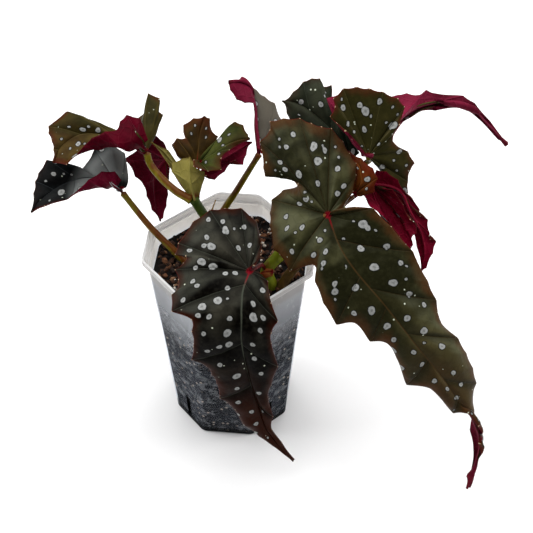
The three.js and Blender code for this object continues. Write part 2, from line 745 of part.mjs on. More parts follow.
// ---- Leaf stalks: path from the stem or the soil to the blade it carries ----
const STALKS = {
  front: {
    carrier: 'right',
    look: crimsonBlade,
    path: [[-1, -1, 20], [-3, 1, 30], [-7, -1, 40], [-10, -3, 45]],
    radius: [1.3, 1.1],
  },
  great: {
    carrier: 'right',
    look: oliveStalk,
    path: [[22, 20, 34], [27, 24, 43], [34, 29, 51], [37, 31, 56]],
    radius: [2.6, 2],
  },
  arching: {
    carrier: 'right',
    look: oliveStalk,
    path: [[45, 37, 44], [50, 50, 42], [57, 60, 45], [62, 64, 51], [61, 66, 58]],
    radius: [1.8, 1.6],
  },
  slit: {
    carrier: 'right',
    look: crimsonBlade,
    path: [[46, 37, 46], [54, 43, 46], [60, 47, 45.5], [62, 50, 48]],
    radius: [1.3, 1.1],
  },
  hidden: {
    carrier: 'right',
    look: oliveStalk,
    path: [[38, 31, 42], [45, 46, 37], [50, 59, 34], [51, 64, 36]],
    radius: [1.8, 1.5],
  },
  small: {
    carrier: 'right',
    look: youngBlade,
    path: [[45, 36.5, 47], [49, 40, 51], [53, 43, 51.5]],
    radius: [1.1, 0.9],
  },
  upright: {
    look: oliveStalk,
    path: [[-29, 13, -39], [-29, 27, -25], [-17, 47, -8], [-4, 68, 10]],
    radius: [2.3, 1.7],
  },
  low: {
    look: oliveStalk,
    path: [[-46, -8, -13], [-49, 2, -2], [-70, 24, 3], [-87, 45, 9]],
    radius: [2.5, 1.7],
  },
  high: {
    carrier: 'left',
    look: oliveStalk,
    path: [[-45, 40, 17], [-54, 45, 18], [-64, 54, 18], [-70, 62, 18], [-72, 69, 20]],
    radius: [2.5, 2],
  },
  hanging: {
    carrier: 'left',
    look: crimsonBlade,
    path: [[-43, 40, 14], [-51, 50, 10], [-57, 60, 6], [-60, 64, 6]],
    radius: [1.3, 1.1],
  },
  unfolding_brown: {
    carrier: 'left',
    look: freshBlade,
    path: [[-45, 41.5, 16.5], [-43.5, 50, 15], [-42, 59, 13]],
    radius: [0.8, 0.7],
  },
  unfolding_green: {
    carrier: 'left',
    look: freshBlade,
    path: [[-43.5, 41.5, 18], [-42.3, 50, 19.5], [-40.2, 61.3, 19.4]],
    radius: [0.8, 0.7],
  },
  unfolding_red: {
    carrier: 'left',
    look: crimsonBlade,
    path: [[-43, 42.5, 16], [-40.5, 50, 14], [-39.5, 56, 12.3]],
    radius: [0.8, 0.7],
  },
};

// A thin brown spike beside the left stem, a stipule left from a lower leaf.
const SPIKE = {
  look: brownStem,
  path: [[-32.5, 23, 4], [-33, 32, 9], [-30.5, 40, 12]],
  radius: [1, 0.25],
};

// ---- Assembly ----
const begonia = new THREE.Group();

function place(name, geometry, look) {
  const mesh = new THREE.Mesh(geometry, look);
  mesh.name = name;
  begonia.add(mesh);
}

function stalkOf(part, grow = 0) {
  return stalkGeometry(part.path.map(seen), part.radius[0], part.radius[1], grow);
}

place('pot', potGeometry(), clearPlastic);
const buried = [...Object.values(STEMS), STALKS.upright, STALKS.low];
place('substrate', substrateGeometry(buried.map((part) => stalkOf(part, SEAT_GAP))), barkMix);
place('stem_left', stalkOf(STEMS.left), STEMS.left.look);
place('stem_right', stalkOf(STEMS.right), STEMS.right.look);
const roomOfRight = stalkOf(STEMS.right, SEAT_GAP);
place('stem_old', clearOf(stalkOf(STEMS.old), roomOfRight), STEMS.old.look);

// Each stalk stops short of its stem, its blade and the stalk before it.
const blades = Object.entries(LEAVES).map(([name, leaf]) => {
  const blade = bladeGeometry(leaf);
  const stem = STEMS[CLASPED[name]];
  return [name, stem ? clearOf(blade, stalkOf(stem, SEAT_GAP)) : blade];
});
const bladeRooms = Object.values(LEAVES).map((leaf) => bladeGeometry(leaf, BLADE_ROOM));
const stalkRooms = [];
Object.entries(STALKS).forEach(([name, stalk]) => {
  const stems = stalk.carrier ? [stalkOf(STEMS[stalk.carrier], SEAT_GAP)] : [];
  const neighbours = [...stems, ...bladeRooms, ...blades.map(([, blade]) => blade), ...stalkRooms];
  place(`stalk_${name}`, clearOf(stalkOf(stalk), ...neighbours), stalk.look);
  stalkRooms.push(stalkOf(stalk, SEAT_GAP));
});
place('spike', clearOf(stalkOf(SPIKE), stalkOf(STEMS.left, SEAT_GAP)), SPIKE.look);
blades.forEach(([name, blade]) => {
  place(`blade_${name}`, blade, LEAVES[name].look);
});

export default begonia;
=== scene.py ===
"""The looks of a polka dot begonia in a clear nursery pot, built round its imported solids."""

import math

import bmesh
import bpy
import numpy as np
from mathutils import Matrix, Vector


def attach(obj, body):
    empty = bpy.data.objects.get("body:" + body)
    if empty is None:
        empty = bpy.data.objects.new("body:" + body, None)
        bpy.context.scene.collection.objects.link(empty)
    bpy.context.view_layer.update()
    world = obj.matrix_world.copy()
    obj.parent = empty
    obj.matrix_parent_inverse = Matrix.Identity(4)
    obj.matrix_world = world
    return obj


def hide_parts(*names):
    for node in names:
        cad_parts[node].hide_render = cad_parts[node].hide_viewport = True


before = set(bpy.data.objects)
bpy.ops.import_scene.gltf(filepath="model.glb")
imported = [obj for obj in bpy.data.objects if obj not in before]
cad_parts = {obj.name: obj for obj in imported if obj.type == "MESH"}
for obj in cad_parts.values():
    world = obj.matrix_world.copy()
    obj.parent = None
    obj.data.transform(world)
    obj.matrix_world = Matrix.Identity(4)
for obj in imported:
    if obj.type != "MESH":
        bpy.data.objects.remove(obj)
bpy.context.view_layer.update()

# Lengths are in millimetres unless they say metres; meshes are turned to metres as they
# are made. Tones are written as red, green and blue in pairs of hexadecimal digits.
MM = 0.001
# The one seed of all random draws, which are made in the same order each run.
SEED = 20

# ---- Sight frame ----
# Leaves and stalks are set out as they look from the front eye point, SIGHT away
# from AIM and LEAN above level: [right, up, near] on the plane through AIM.
AIM = np.array([22.0, 0.0, 120.0])
SIGHT = 660.0
LEAN = math.radians(46)
RIGHT = np.array([1.0, 0.0, 0.0])
UP = np.array([0.0, math.sin(LEAN), math.cos(LEAN)])
NEAR = np.array([0.0, -math.cos(LEAN), math.sin(LEAN)])
PICTURE = 533
FOCAL_PIXELS = 1100
SENSOR = 36.0
NEAREST_SEEN = 10.0

# ---- Pot ----
POT_HEIGHT = 134.0
POT_TURN = math.radians(39.5)
RIM_WIDTH = 90.0
RIM_CUT = 18.5
NECK_WIDTH = 87.0
NECK_CUT = 21.0
BASE_WIDTH = 74.0
BASE_CUT = 23.0
LEDGE = POT_HEIGHT - 4.2
WALL = 1.1
PLASTIC = 0.6
LIP = 0.4
RIM_INSET = 2 * PLASTIC
FLOOR = 1.6
CORNER_ROUND = 2.5
CORNER_STEPS = 5
POT_CREASE = math.radians(28)
# A corner cut shrinks by this share of an inset.
MITRE = 2 - math.sqrt(2)
# The pot's skin, up the outside, over the rim and down the inside. Rings of the body
# have a height and an inset; rings of the rim a height, how much narrower they are,
# and the inset of their corner cuts.
OUTSIDE = ((0.0, 1.0), (0.35, 0.3), (1.0, 0.0), (LEDGE, 0.0))
RIM = (
    (LEDGE, 0.4, 0.0),
    (LEDGE + 0.3, 0.0, 0.0),
    (POT_HEIGHT - LIP, 0.0, 0.0),
    (POT_HEIGHT - 0.15, 0.3, 0.0),
    (POT_HEIGHT, 2 * LIP, LIP),
    (POT_HEIGHT - 0.05, 2 * RIM_INSET - 1, RIM_INSET),
    (POT_HEIGHT - LIP, 2 * RIM_INSET, RIM_INSET),
)
INSIDE = ((LEDGE - 1, PLASTIC), (FLOOR + 1, PLASTIC), (FLOOR, PLASTIC + 1))
SLOT_SIZE = (4.4, 16.0, 22.0)
SLOT_COUNT = 4

# ---- Substrate ----
SOIL_TOP = 121.0
SOIL_BASE = 2.0
SOIL_INSET = 0.7
SOIL_RINGS = 24
SOIL_CREASE = math.radians(35)
# The waves of its top: their height, how fast they turn along x and y, and how far
# their middle lies below SOIL_TOP.
SOIL_WAVES = (0.8, 0.19, 0.23)
SOIL_SINK = 0.6
# Bark: how many pieces, their room from the wall, least and largest size, the largest
# within WALL_ROOM of the wall, width and depth against the size, and place above the top.
BARK_COUNT = 1150
BARK_ROOM = 0.8
BARK_SIZES = (0.7, 2.5)
BARK_AT_WALL = 0.9
WALL_ROOM = 2.6
BARK_WIDTHS = (0.6, 1.0)
BARK_DEPTHS = (0.4, 0.8)
BARK_HEIGHTS = (-0.8, 1.2)
BARK_DARKNESS = 1.9
# Perlite: how many places are tried, what share is kept in its drift and elsewhere.
PERLITE_COUNT = 300
PERLITE_DRIFT = (27.0, 22.0)
DRIFT_REACH = 13
DRIFT_SHARE = 0.95
STRAY_SHARE = 0.3
PERLITE_SIZES = (0.45, 1.2)
PERLITE_HEIGHTS = (0.4, 1.9)
# A lump's corners move in and out between these shares; the power blunts it.
LUMP_ROUGHNESS = (0.82, 1.12)
LUMP_POWER = 0.75

# ---- Blades and stalks ----
# How fine a blade's grid and the lines are.
GRID = 0.9
LEAST_COLUMNS = 6
LINE_STEPS = 200
RIB_STEPS = 60
WELD = 0.002
# Half the thickness inside and at the margin, and how far in the thinner part reaches.
BLADE_HALF = 0.27
EDGE_HALF = 0.12
EDGE_REACH = 2.5
# The usual bow of the veins against their length, and how their starts crowd the stalk.
BELLY = 0.06
SWEEP = 1.15
# The margin: share of a smooth line in it, and depth of its hollows, less below a pitch.
ROUNDNESS = 0.4
TOOTH = 0.8
TOOTH_PITCH = 8
VEIN_SPACING = 15.0
# The blade's rise between veins: height, distance it takes, the half's width at which it
# is full, limits of its share on other blades, and how it fades to the rib and margin.
QUILT = 2.5
QUILT_REACH = 6.0
QUILT_WIDTH = 45.0
QUILT_SIZES = (0.35, 1)
QUILT_HOLD = 0.7
RIPPLE = 0.3
# The ripple's waves: length, direction and start.
RIPPLES = (
    (13.0, (0.8, 0.5, 0.3), 0.4),
    (9.0, (-0.4, 0.7, 0.6), 1.9),
    (6.5, (0.3, -0.8, 0.5), 3.1),
)
# Veins on the underside: where they end along their line, how thick they start against
# the knob or in mm, how thick they end, and how many sides they have.
MIDRIB_END = 0.93
MIDRIB_START = 0.45
MIDRIB_TIP = 0.1
MIDRIB_TAPER = 0.8
MIDRIB_SIDES = 10
VEIN_END = 0.86
VEIN_START = 0.34
VEIN_TIP = 0.07
VEIN_SINK = 0.08
VEIN_SIDES = 6
VEIN_STEPS = 4
STALK_SIDES = 20
STALK_STEP = 1.5
STALK_STEPS = 6
# Swellings: share of the radius, and width as a share of the length.
NODE_SWELLING = (0.13, 0.022)
END_SWELLING = (0.22, 0.05)
END_ROUNDING = 0.9
KNOB_DEPTH = 0.3
KNOB_DEEPEST = 0.5
# A direction that no stem or stalk starts along.
ASLANT = (0.3, 0.9, 0.2)
# A distance beyond all marks, and a share of the rib beyond its tip.
FAR_OFF = 40.0
NEVER = 2.0

# ---- The leaves: rib from the stalk's end to the tip; margins from the notch at the
# stalk, round the lobe, to just before the tip; left and right as on the upper side.
# A fan is the margin point up to which all veins start at the stalk. A margin point
# may end with how far right and up its vein bows. ----
LEAVES = {
    "front": {
        "knob": 1.8, "left_fan": 3, "right_fan": 14,
        "rib": [
            [-10, -3, 45], [-14, -14, 51], [-15, -25, 55], [-15, -34, 55], [-15, -44, 49], [-11, -64, 29],
            [-4, -85, 5], [3, -100, -12], [16, -115, -30],
        ],
        "left": [
            [-4, -5, 45], [1, -9, 48], [2, -17, 52], [3, -22, 54], [7, -33, 53], [3, -40, 50],
            [3, -46, 45], [7, -60, 31], [3, -71, 20], [1, -78, 14], [4, -90, 1], [3, -97, -8],
            [9, -105, -18],
        ],
        "right": [
            [-7, 0, 46], [-3, 7, 44], [-3, 14, 40], [-6, 27, 34], [-15, 35, 29], [-25, 35, 28],
            [-34, 34, 27], [-44, 27, 26], [-53, 14, 28], [-55, 7, 30], [-48, 6, 34], [-50, 2, 34],
            [-55, -2, 34], [-53, -8, 38], [-54, -14, 41], [-57, -17, 42], [-57, -27, 46], [-45, -32, 52],
            [-45, -39, 49], [-44, -48, 42], [-45, -56, 34], [-36, -60, 32], [-33, -65, 27],
            [-30, -70, 22], [-28, -79, 12], [-22, -83, 8], [-14, -95, -6], [-5, -101, -14],
        ],
    },
    "great": {
        "knob": 2.6, "left_fan": 3, "right_fan": 27,
        "rib": [
            [37, 31, 56], [44, 12, 60], [53, -2, 62], [70, -22, 60], [88, -45, 50], [105, -66, 34],
            [116, -82, 19], [122, -88, 11], [126, -97, 2], [128, -107, -7], [125, -118, -15],
            [120, -132, -22],
        ],
        "left": [
            [42, 33, 58], [54, 36, 62], [64, 35, 63], [75, 24, 62], [88, 9, 58], [97, -9, 51],
            [102, -20, 46], [105, -34, 40], [115, -43, 32], [120, -52, 27], [124, -61, 20],
            [126, -70, 14], [124, -77, 10], [124, -87, 5], [122, -98, -5], [124, -108, -11],
            [123, -121, -19],
        ],
        "right": [
            [41, 34, 56], [47, 37, 57], [52, 45, 57], [54, 55, 57], [54, 62, 56], [50, 68, 55],
            [46, 75, 53], [39, 83, 50], [33, 84, 49], [27, 86, 48], [20, 89, 46], [10, 89, 45],
            [2, 87, 43, 1, 1], [2, 82, 43, 1, 1], [-4, 75, 40, 2, 2], [-3, 70, 40, 2, 4],
            [-2, 59, 40, 3, 7], [-1, 54, 40, 4, 8], [7, 55, 42, 2, 6], [13, 54, 46, 0, 3], [19, 49, 48],
            [10, 46, 34], [3, 40, 30], [2, 32, 31], [2, 25, 33], [4, 10, 38], [8, 7, 41], [14, -3, 44],
            [28, 1, 52], [30, -2, 53], [29, -9, 54], [34, -22, 53], [42, -35, 49], [53, -34, 53],
            [62, -45, 46], [72, -46, 48], [78, -55, 40], [84, -71, 25], [98, -73, 26], [112, -88, 12],
            [120, -88, 15], [127, -96, 7], [130, -100, 1], [127, -106, -4], [129, -113, -10],
            [126, -120, -16],
        ],
    },
    "arching": {
        "knob": 2.8, "left_fan": 10, "right_fan": 24, "right_belly": 0.01,
        "rib": [
            [61, 66, 58], [66, 74, 48], [75, 87, 40], [90, 98, 36], [106, 99.5, 34], [121, 97.5, 30],
            [132, 86.5, 24], [145, 73, 16],
        ],
        "left": [
            [57, 66, 55], [54, 73, 52], [48, 80, 50], [42, 86, 48], [36, 101, 46], [45, 104, 43],
            [54, 103, 41], [66, 101, 39], [79, 103, 37], [84, 104, 36], [92, 103, 36], [96, 106, 35],
            [101, 104, 33], [118, 102.5, 29], [125, 98, 27], [135, 86, 22],
        ],
        "right": [
            [52, 76, 62], [47, 81, 64], [42, 86, 65], [38, 90, 65], [41, 96, 66], [40, 101, 66],
            [46, 107, 66], [54, 108, 66], [62, 107, 66], [70, 105, 66], [79, 101, 64], [83, 96, 62],
            [80, 85, 62], [76, 79, 60], [77, 74, 55], [85, 69, 50], [89, 62, 46], [87, 59, 46],
            [85, 51, 42], [85, 44, 38], [80, 42, 31], [78, 52, 26], [76, 64, 24], [76, 78, 26],
            [79, 83, 28], [85, 90, 31], [95, 95, 33], [106, 96, 32], [120, 94.5, 28], [130, 86, 22],
            [139, 76, 17],
        ],
    },
    "hidden": {
        "knob": 2.2, "left_fan": 3, "right_fan": 4,
        "rib": [[51, 64, 36], [40, 80, 34], [28, 92, 31], [18, 98, 28], [10, 99, 26]],
        "left": [[46, 62, 34], [36, 66, 30], [25, 75, 28], [15, 85, 26], [12, 92, 25]],
        "right": [
            [56, 68, 36], [52, 78, 35], [45, 88, 34], [41, 94, 33], [39, 101, 31], [39, 109, 27],
            [34, 108, 22], [33, 106, 30], [32, 113, 33], [27, 113, 32], [22, 111, 31], [16, 105, 29],
        ],
    },
    "slit": {
        "knob": 2, "left_fan": 13, "right_fan": 2,
        "rib": [[62, 50, 48], [80, 45, 51], [87, 32, 46], [93, 20, 41], [95, 8, 38], [93, -3, 36]],
        "left": [
            [58, 43, 51], [62, 36, 54], [71, 29, 55], [80, 18, 53], [86, 9, 50], [88, 13, 52],
            [87, 17, 53], [90, 20, 53], [90, 25, 54], [86, 28, 54], [82, 37, 55], [78, 43, 55],
            [76, 46, 56], [74, 46, 50], [77, 42, 46], [82, 35, 44], [87, 25, 41], [90, 12, 38],
        ],
        "right": [
            [66, 58, 54], [72, 57, 56], [79, 52, 55], [83, 45, 53], [88, 40, 49], [92, 34, 46],
            [92, 30, 45], [97, 28, 44], [97, 23, 43], [98, 20, 42], [98, 16, 41], [102, 15, 40],
            [100, 8, 39], [96, -1, 37],
        ],
    },
    "small": {
        "knob": 1.4, "left_fan": 2, "right_fan": 3,
        "rib": [[53, 43, 51.5], [57, 50, 56], [56, 60, 57], [50, 69, 51]],
        "left": [[51, 44, 51], [52, 47, 51], [53, 53, 52], [53, 60, 52], [51, 65, 51]],
        "right": [[57, 42, 54], [65, 45, 59], [65, 49, 61], [67, 53, 62], [64, 59, 61], [57, 65, 57]],
    },
    "upright": {
        "knob": 2.2, "left_fan": 0, "left_sweep": 1, "right_fan": 4,
        "rib": [[-4, 68, 10], [-6, 83, 7], [-7, 99, 7], [-10, 107, 10], [-16, 110, 14], [-23, 110, 18]],
        "left": [[-6, 71, 12], [-7, 84, 12], [-8, 98, 13], [-13, 98, 16], [-18, 100, 18], [-22, 106, 19]],
        "right": [
            [0, 68, 6], [10, 72, -2], [18, 82, -8], [9, 88, -4], [5, 98, -4], [-1, 102, -1], [-6, 106, 3],
            [-10, 110, 7], [-15, 114, 11], [-19, 111, 15],
        ],
    },
    "low": {
        "knob": 2.2, "left_fan": 2, "left_belly": -0.58, "left_taper": 2.5, "right_fan": 4,
        "rib": [
            [-87, 46, 10], [-97, 52, 4], [-110, 53, 3], [-124, 48, 8], [-135, 40, 13], [-141, 32, 16],
        ],
        "left": [
            [-87, 52, 15], [-91, 57, 17], [-99, 57, 19], [-107, 52, 20], [-113, 46, 21], [-120, 40, 21],
            [-133, 36, 19],
        ],
        "right": [
            [-85, 48, 7], [-84, 57, 2], [-85, 68, -3], [-94, 74, -6], [-103, 71, -7], [-108, 62, -5],
            [-115, 56, -3], [-120, 57, -1], [-121, 61, 0], [-132, 64, 3], [-137, 56, 7], [-139, 51, 9],
            [-140, 44, 12],
        ],
    },
    "high": {
        "knob": 2.6, "left_fan": 4, "left_belly": -0.5, "left_taper": 0.9, "right_fan": 9,
        "rib": [
            [-72, 69, 20], [-84, 75, 15], [-97, 79, 13], [-112, 79, 14], [-123, 72, 18], [-128, 62, 22],
        ],
        "left": [
            [-71, 76, 25], [-76, 89, 27], [-84, 91, 28], [-88, 87, 29], [-90, 82, 30], [-97, 81, 31],
            [-105, 77, 31], [-110, 72, 31], [-114, 67, 30], [-120, 61, 28],
        ],
        "right": [
            [-68, 78, 15], [-67, 86, 12], [-62, 91, 10], [-66, 95, 9], [-64, 101, 6], [-71, 104, 6],
            [-72, 94, 4], [-76, 90, 3], [-84, 84, 0], [-96, 79, 1], [-109, 86, 4], [-115, 91, 5],
            [-115, 87, 8], [-120, 93, 8], [-131, 84, 12], [-131, 80, 14], [-129, 75, 17], [-128, 70, 19],
        ],
    },
    "hanging": {
        "knob": 1.7, "left_fan": 4, "right_fan": 2,
        "rib": [[-60, 64, 6], [-66, 56, 3], [-67, 45, 1], [-66, 35, 0], [-64, 27, 0]],
        "left": [
            [-62, 75, 3], [-67, 79, 0], [-75, 72, -4], [-86, 64, -10], [-83, 62, -10], [-79, 54, -7],
            [-74, 49, -4], [-72, 42, -2], [-69, 34, -1],
        ],
        "right": [[-58, 61, 7], [-59, 53, 5], [-60, 48, 4], [-59, 43, 3], [-60, 36, 2], [-62, 29, 1]],
    },
    "unfolding_brown": {
        "knob": 1.2, "left_fan": 5, "right_fan": 2,
        "rib": [[-42, 60, 13], [-41, 70, 12], [-40, 81, 10], [-37, 90, 9]],
        "left": [
            [-47, 62, 12], [-54, 67, 12], [-57, 73, 13], [-54, 77, 13], [-49, 77, 11], [-50, 81, 9],
            [-50, 85, 7], [-44, 89, 7],
        ],
        "right": [[-38, 65, 11], [-35, 71, 9], [-29, 78, 8], [-33, 82, 7], [-34, 89, 8]],
    },
    "unfolding_green": {
        "knob": 1.2, "left_fan": 2, "right_fan": 4,
        "rib": [[-40, 62, 20], [-32, 67, 24], [-21, 74, 26], [-10, 76, 24]],
        "left": [
            [-38, 67, 19], [-31, 74, 18], [-23, 82, 17], [-19, 87, 16], [-14, 85, 17], [-11, 79, 21],
        ],
        "right": [
            [-44, 64, 24], [-44, 60, 27], [-35, 57, 31], [-27, 58, 32], [-27, 65, 30], [-22, 70, 29],
        ],
    },
    "unfolding_red": {
        "knob": 1.2, "left_fan": 2, "right_fan": 2,
        "rib": [[-39, 57, 12], [-31, 61, 13], [-21, 67, 13], [-9, 75, 13]],
        "left": [
            [-36, 55, 14], [-31, 52, 15], [-25, 57, 15], [-19, 64, 14], [-14, 61, 15], [-12, 67, 14],
        ],
        "right": [[-37, 61, 10], [-31, 67, 9], [-21, 73, 9], [-14, 76, 11]],
    },
    "sheath": {
        "knob": 1.2, "left_fan": 1, "right_fan": 1,
        "rib": [[-43, 40, 19], [-45, 49, 24], [-46, 57, 24.5], [-46, 66, 21]],
        "left": [
            [-40, 41, 17], [-39, 47, 20], [-37, 53, 21], [-37, 57, 21], [-42, 59, 21], [-44, 63, 20.5],
        ],
        "right": [
            [-47, 42, 18], [-50, 47, 19], [-54, 53, 19], [-57, 57, 19], [-57, 62, 19], [-50, 65, 20],
        ],
    },
    "bract": {
        "knob": 0.9, "left_fan": 1, "right_fan": 1,
        "rib": [[-44, 42, 14], [-50, 52, 14.5], [-61, 68, 20], [-69, 75, 21]],
        "left": [[-43, 44, 13], [-48, 54, 13], [-59, 70, 18]],
        "right": [[-46, 43, 13], [-54, 53, 15], [-62, 66, 21]],
    },
    "node_scale": {
        "knob": 0.8, "left_fan": 1, "right_fan": 1,
        "rib": [[4, -3, 21.5], [0, -3, 22.5], [-4, -4, 22]],
        "left": [[3, -6, 20], [-1, -7, 20]],
        "right": [[3, 0, 22], [0, 0, 22.5]],
    },
}

# ---- Stems: path from the buried end up, radius at each end, places of the thick nodes,
# slot, deep and light tone and stain ----
STEMS = {
    "left": {
        "path": [[-25, -3, -24], [-25, 11, -10], [-37, 30, 7], [-44, 41, 17]],
        "radius": [3, 2.8],
        "nodes": (0.36, 0.66, 0.97),
        "slot": "green_stem",
        "tones": ("2c3e10", "4e5c1a", "2e2410"),
    },
    "right": {
        "path": [
            [3, -25, -3], [3, -11, 12], [0, -3, 18], [7, 6, 24], [22, 20, 34], [36, 30, 43], [46, 37, 46],
        ],
        "radius": [4, 2.6],
        "nodes": (0.3, 0.47, 0.68, 0.97),
        "slot": "lime_stem",
        "tones": ("627012", "869022", "6e3618"),
    },
    "old": {
        "path": [[6, -24, -1], [9, -12, 13], [15, -3, 14], [22, 6, 15]],
        "radius": [3.4, 3],
        "nodes": (0.5, 0.8),
        "slot": "brown_stem",
        "tones": ("36280e", "523e16", "28160c"),
    },
}
SPIKE = {
    "path": [[-32.5, 23, 4], [-33, 32, 9], [-30.5, 40, 12]],
    "radius": [1, 0.25],
    "nodes": (),
    "slot": "brown_stem",
    "tones": ("785c28", "96763e", "5c3c1e"),
}

# ---- Leaf stalks: slot, radius at each end, path up to the blade ----
STALKS = {
    "front": ("red_stalk", [1.3, 1.1], [[-1, -1, 20], [-3, 1, 30], [-7, -1, 40], [-10, -3, 45]]),
    "great": ("olive_stalk", [2.6, 2], [[22, 20, 34], [27, 24, 43], [34, 29, 51], [37, 31, 56]]),
    "arching": ("olive_stalk", [1.8, 1.6], [
        [45, 37, 44], [50, 50, 42], [57, 60, 45], [62, 64, 51], [61, 66, 58],
    ]),
    "slit": ("red_stalk", [1.3, 1.1], [[46, 37, 46], [54, 43, 46], [60, 47, 45.5], [62, 50, 48]]),
    "hidden": ("olive_stalk", [1.8, 1.5], [[38, 31, 42], [45, 46, 37], [50, 59, 34], [51, 64, 36]]),
    "small": ("young_stalk", [1.1, 0.9], [[45, 36.5, 47], [49, 40, 51], [53, 43, 51.5]]),
    "upright": ("olive_stalk", [2.3, 1.7], [[-29, 13, -39], [-29, 27, -25], [-17, 47, -8], [-4, 68, 10]]),
    "low": ("olive_stalk", [2.5, 1.7], [[-46, -8, -13], [-49, 2, -2], [-70, 24, 3], [-87, 45, 9]]),
    "high": ("olive_stalk", [2.5, 2], [
        [-45, 40, 17], [-54, 45, 18], [-64, 54, 18], [-70, 62, 18], [-72, 69, 20],
    ]),
    "hanging": ("red_stalk", [1.3, 1.1], [[-43, 40, 14], [-51, 50, 10], [-57, 60, 6], [-60, 64, 6]]),
    "unfolding_brown": ("young_stalk", [0.8, 0.7], [[-45, 41.5, 16.5], [-43.5, 50, 15], [-42, 59, 13]]),
    "unfolding_green": ("young_stalk", [0.8, 0.7], [
        [-43.5, 41.5, 18], [-42.3, 50, 19.5], [-40.2, 61.3, 19.4],
    ]),
    "unfolding_red": ("red_stalk", [0.8, 0.7], [[-43, 42.5, 16], [-40.5, 50, 14], [-39.5, 56, 12.3]]),
}

# ---- Spots: [right, up] as seen from the front, by size ----
SPOT_RADIUS = {"big": 2.2, "wide": 1.85, "mid": 1.45, "small": 0.75}
SPOTS = {
    "front": {
        "big": [
            (-24.5, 21.5), (-33.5, 12.5), (-39, 2.5), (-32, 0), (-29.5, -20.5), (-38.5, -24), (-8, -30.5),
            (-23.5, -40), (-22.5, -47.5), (-17.5, -66),
        ],
        "mid": [
            (-35, 28), (-26.5, 27), (-13.5, 24), (-36, 17.5), (-38, 12.5), (-46, 9.5), (-17, 11),
            (-10.5, 12.5), (-42.5, -0.5), (-25, -3.5), (-19, -3.5), (-44.5, -8.5), (-42, -11.5),
            (-23, -13), (-50.5, -20), (-41, -29.5), (-34.5, -30.5), (-8, -22), (-2, -14.5), (-2, -31),
            (-3.5, -38.5), (-38, -40.5), (-22, -31.5), (-28, -49), (-36, -51.5), (-8.5, -47), (-7, -55.5),
            (-28, -59.5), (-3.5, -65), (-17.5, -74), (-17, -82), (-4.5, -77), (-8.5, -88), (-6, -94.5),
        ],
        "small": [(-19.5, 23), (-23.5, -19.5), (-2, -87), (1, -103)],
    },
    "great": {
        "big": [
            (28, 72), (30.5, 63.5), (18.5, 55), (58, 25.5), (64.5, -0.5), (76.5, -10), (63, -26.5),
            (94.5, -39),
        ],
        "mid": [
            (16, 79.5), (35, 69.5), (11.5, 71.5), (42.5, 58.5), (8, 62.5), (11, 58.5), (31, 49.5),
            (46.5, 48), (42.5, 43.5), (20, 37.5), (23, 40), (11, 30.5), (11.5, 23), (21, 23.5), (15.5, 9),
            (28, 7), (35.5, 9), (32, 16), (34.5, 2), (60.5, 23), (81, 2), (52, -28), (94.5, -23),
            (117, -70.5), (88.5, -51.5), (112, -64), (101, -69), (109, -73.5), (114, -79.5), (93.5, -59),
            (76, -44), (41, -10.5),
        ],
        "wide": [
            (56.5, 11), (72, 12), (41, -15), (53.5, -12.5), (85.5, -17), (72.5, -36), (84.5, -31.5),
            (105, -48),
        ],
        "small": [
            (33.5, 72.5), (41.5, 71.5), (43, 65.5), (8, 71.5), (7, 76.5), (5, 57.5), (23, 44.5),
            (25, 41.5), (26.5, 38.5), (17.5, 20.5), (35, 21.5), (33, -1), (52, 27), (65.5, 22),
            (46.5, 16.5), (48, 0), (84.5, 0), (41, -19.5), (84, -8), (94.5, -45.5),
        ],
    },
    "arching": {
        "big": [(59.5, 93), (75.5, 85)],
        "mid": [(55.5, 97), (68, 99), (46.5, 95), (58.5, 82), (69.5, 60), (80, 68)],
        "small": [
            (45.5, 100.5), (75.5, 96), (62.5, 90), (79, 91), (72, 86.5), (49, 86.5), (49, 84.5), (53, 81),
            (76.5, 63.5), (84, 60.5), (78, 57.5), (67, 73.5),
        ],
    },
    "hidden": {"mid": [(20.5, 98.5), (32.5, 97)], "small": [(19.5, 91.5), (38.5, 97.5), (35, 102)]},
    "small": {"mid": [(60.5, 52)], "small": [(59.5, 46.5), (54.5, 58.5)]},
    "high": {
        "mid": [(-110, 82), (-113, 73.5), (-101, 81.5)],
        "small": [(-118.5, 83.5), (-123, 76.5), (-117.5, 71), (-109, 73.5), (-106.5, 84)],
    },
    "low": {
        "big": [(-123.5, 45.5)],
        "mid": [(-127.5, 55.5)],
        "small": [(-132.5, 51.5), (-130.5, 40.5), (-121.5, 55.5), (-117, 55)],
    },
    "unfolding_brown": {"small": [(-43, 84.5), (-36, 82.5), (-45, 80), (-36, 77.5)]},
    "unfolding_green": {
        "mid": [(-28.5, 76)],
        "small": [(-22.5, 79.5), (-28.5, 67.5), (-26.5, 72.5), (-36.5, 62.5)],
    },
}
# Blades with neither spots nor specks, and blades without pale tooth tips or spots
# out of view.
STIPULES = ("sheath", "bract", "node_scale")
PLAIN_BLADES = (*STIPULES, "small")

# Blades whose upper side is the other face of the sheet than on the rest.
TURNED = ("arching",)

# Stretches rolled so far that they show their underside only, from this share of
# the rib on.
ROLLED = {
    ("arching", "right"): 0.3,
    ("arching", "left"): 0.35,
    ("great", "right"): 0.9,
    ("great", "left"): 0.9,
    ("upright", "left"): 0.0,
    ("upright", "right"): 0.55,
}

# The margin points, from the notch on, where main veins end; on the other blades
# these are VEIN_SPACING apart.
VEINS = {
    ("front", "right"): (2, 4, 6, 8, 12, 16, 20, 24),
    ("front", "left"): (1, 4, 7, 10),
    ("great", "right"): (3, 7, 10, 14, 17, 22, 27, 32, 34, 37, 39),
    ("great", "left"): (2, 4, 6, 8, 11),
}

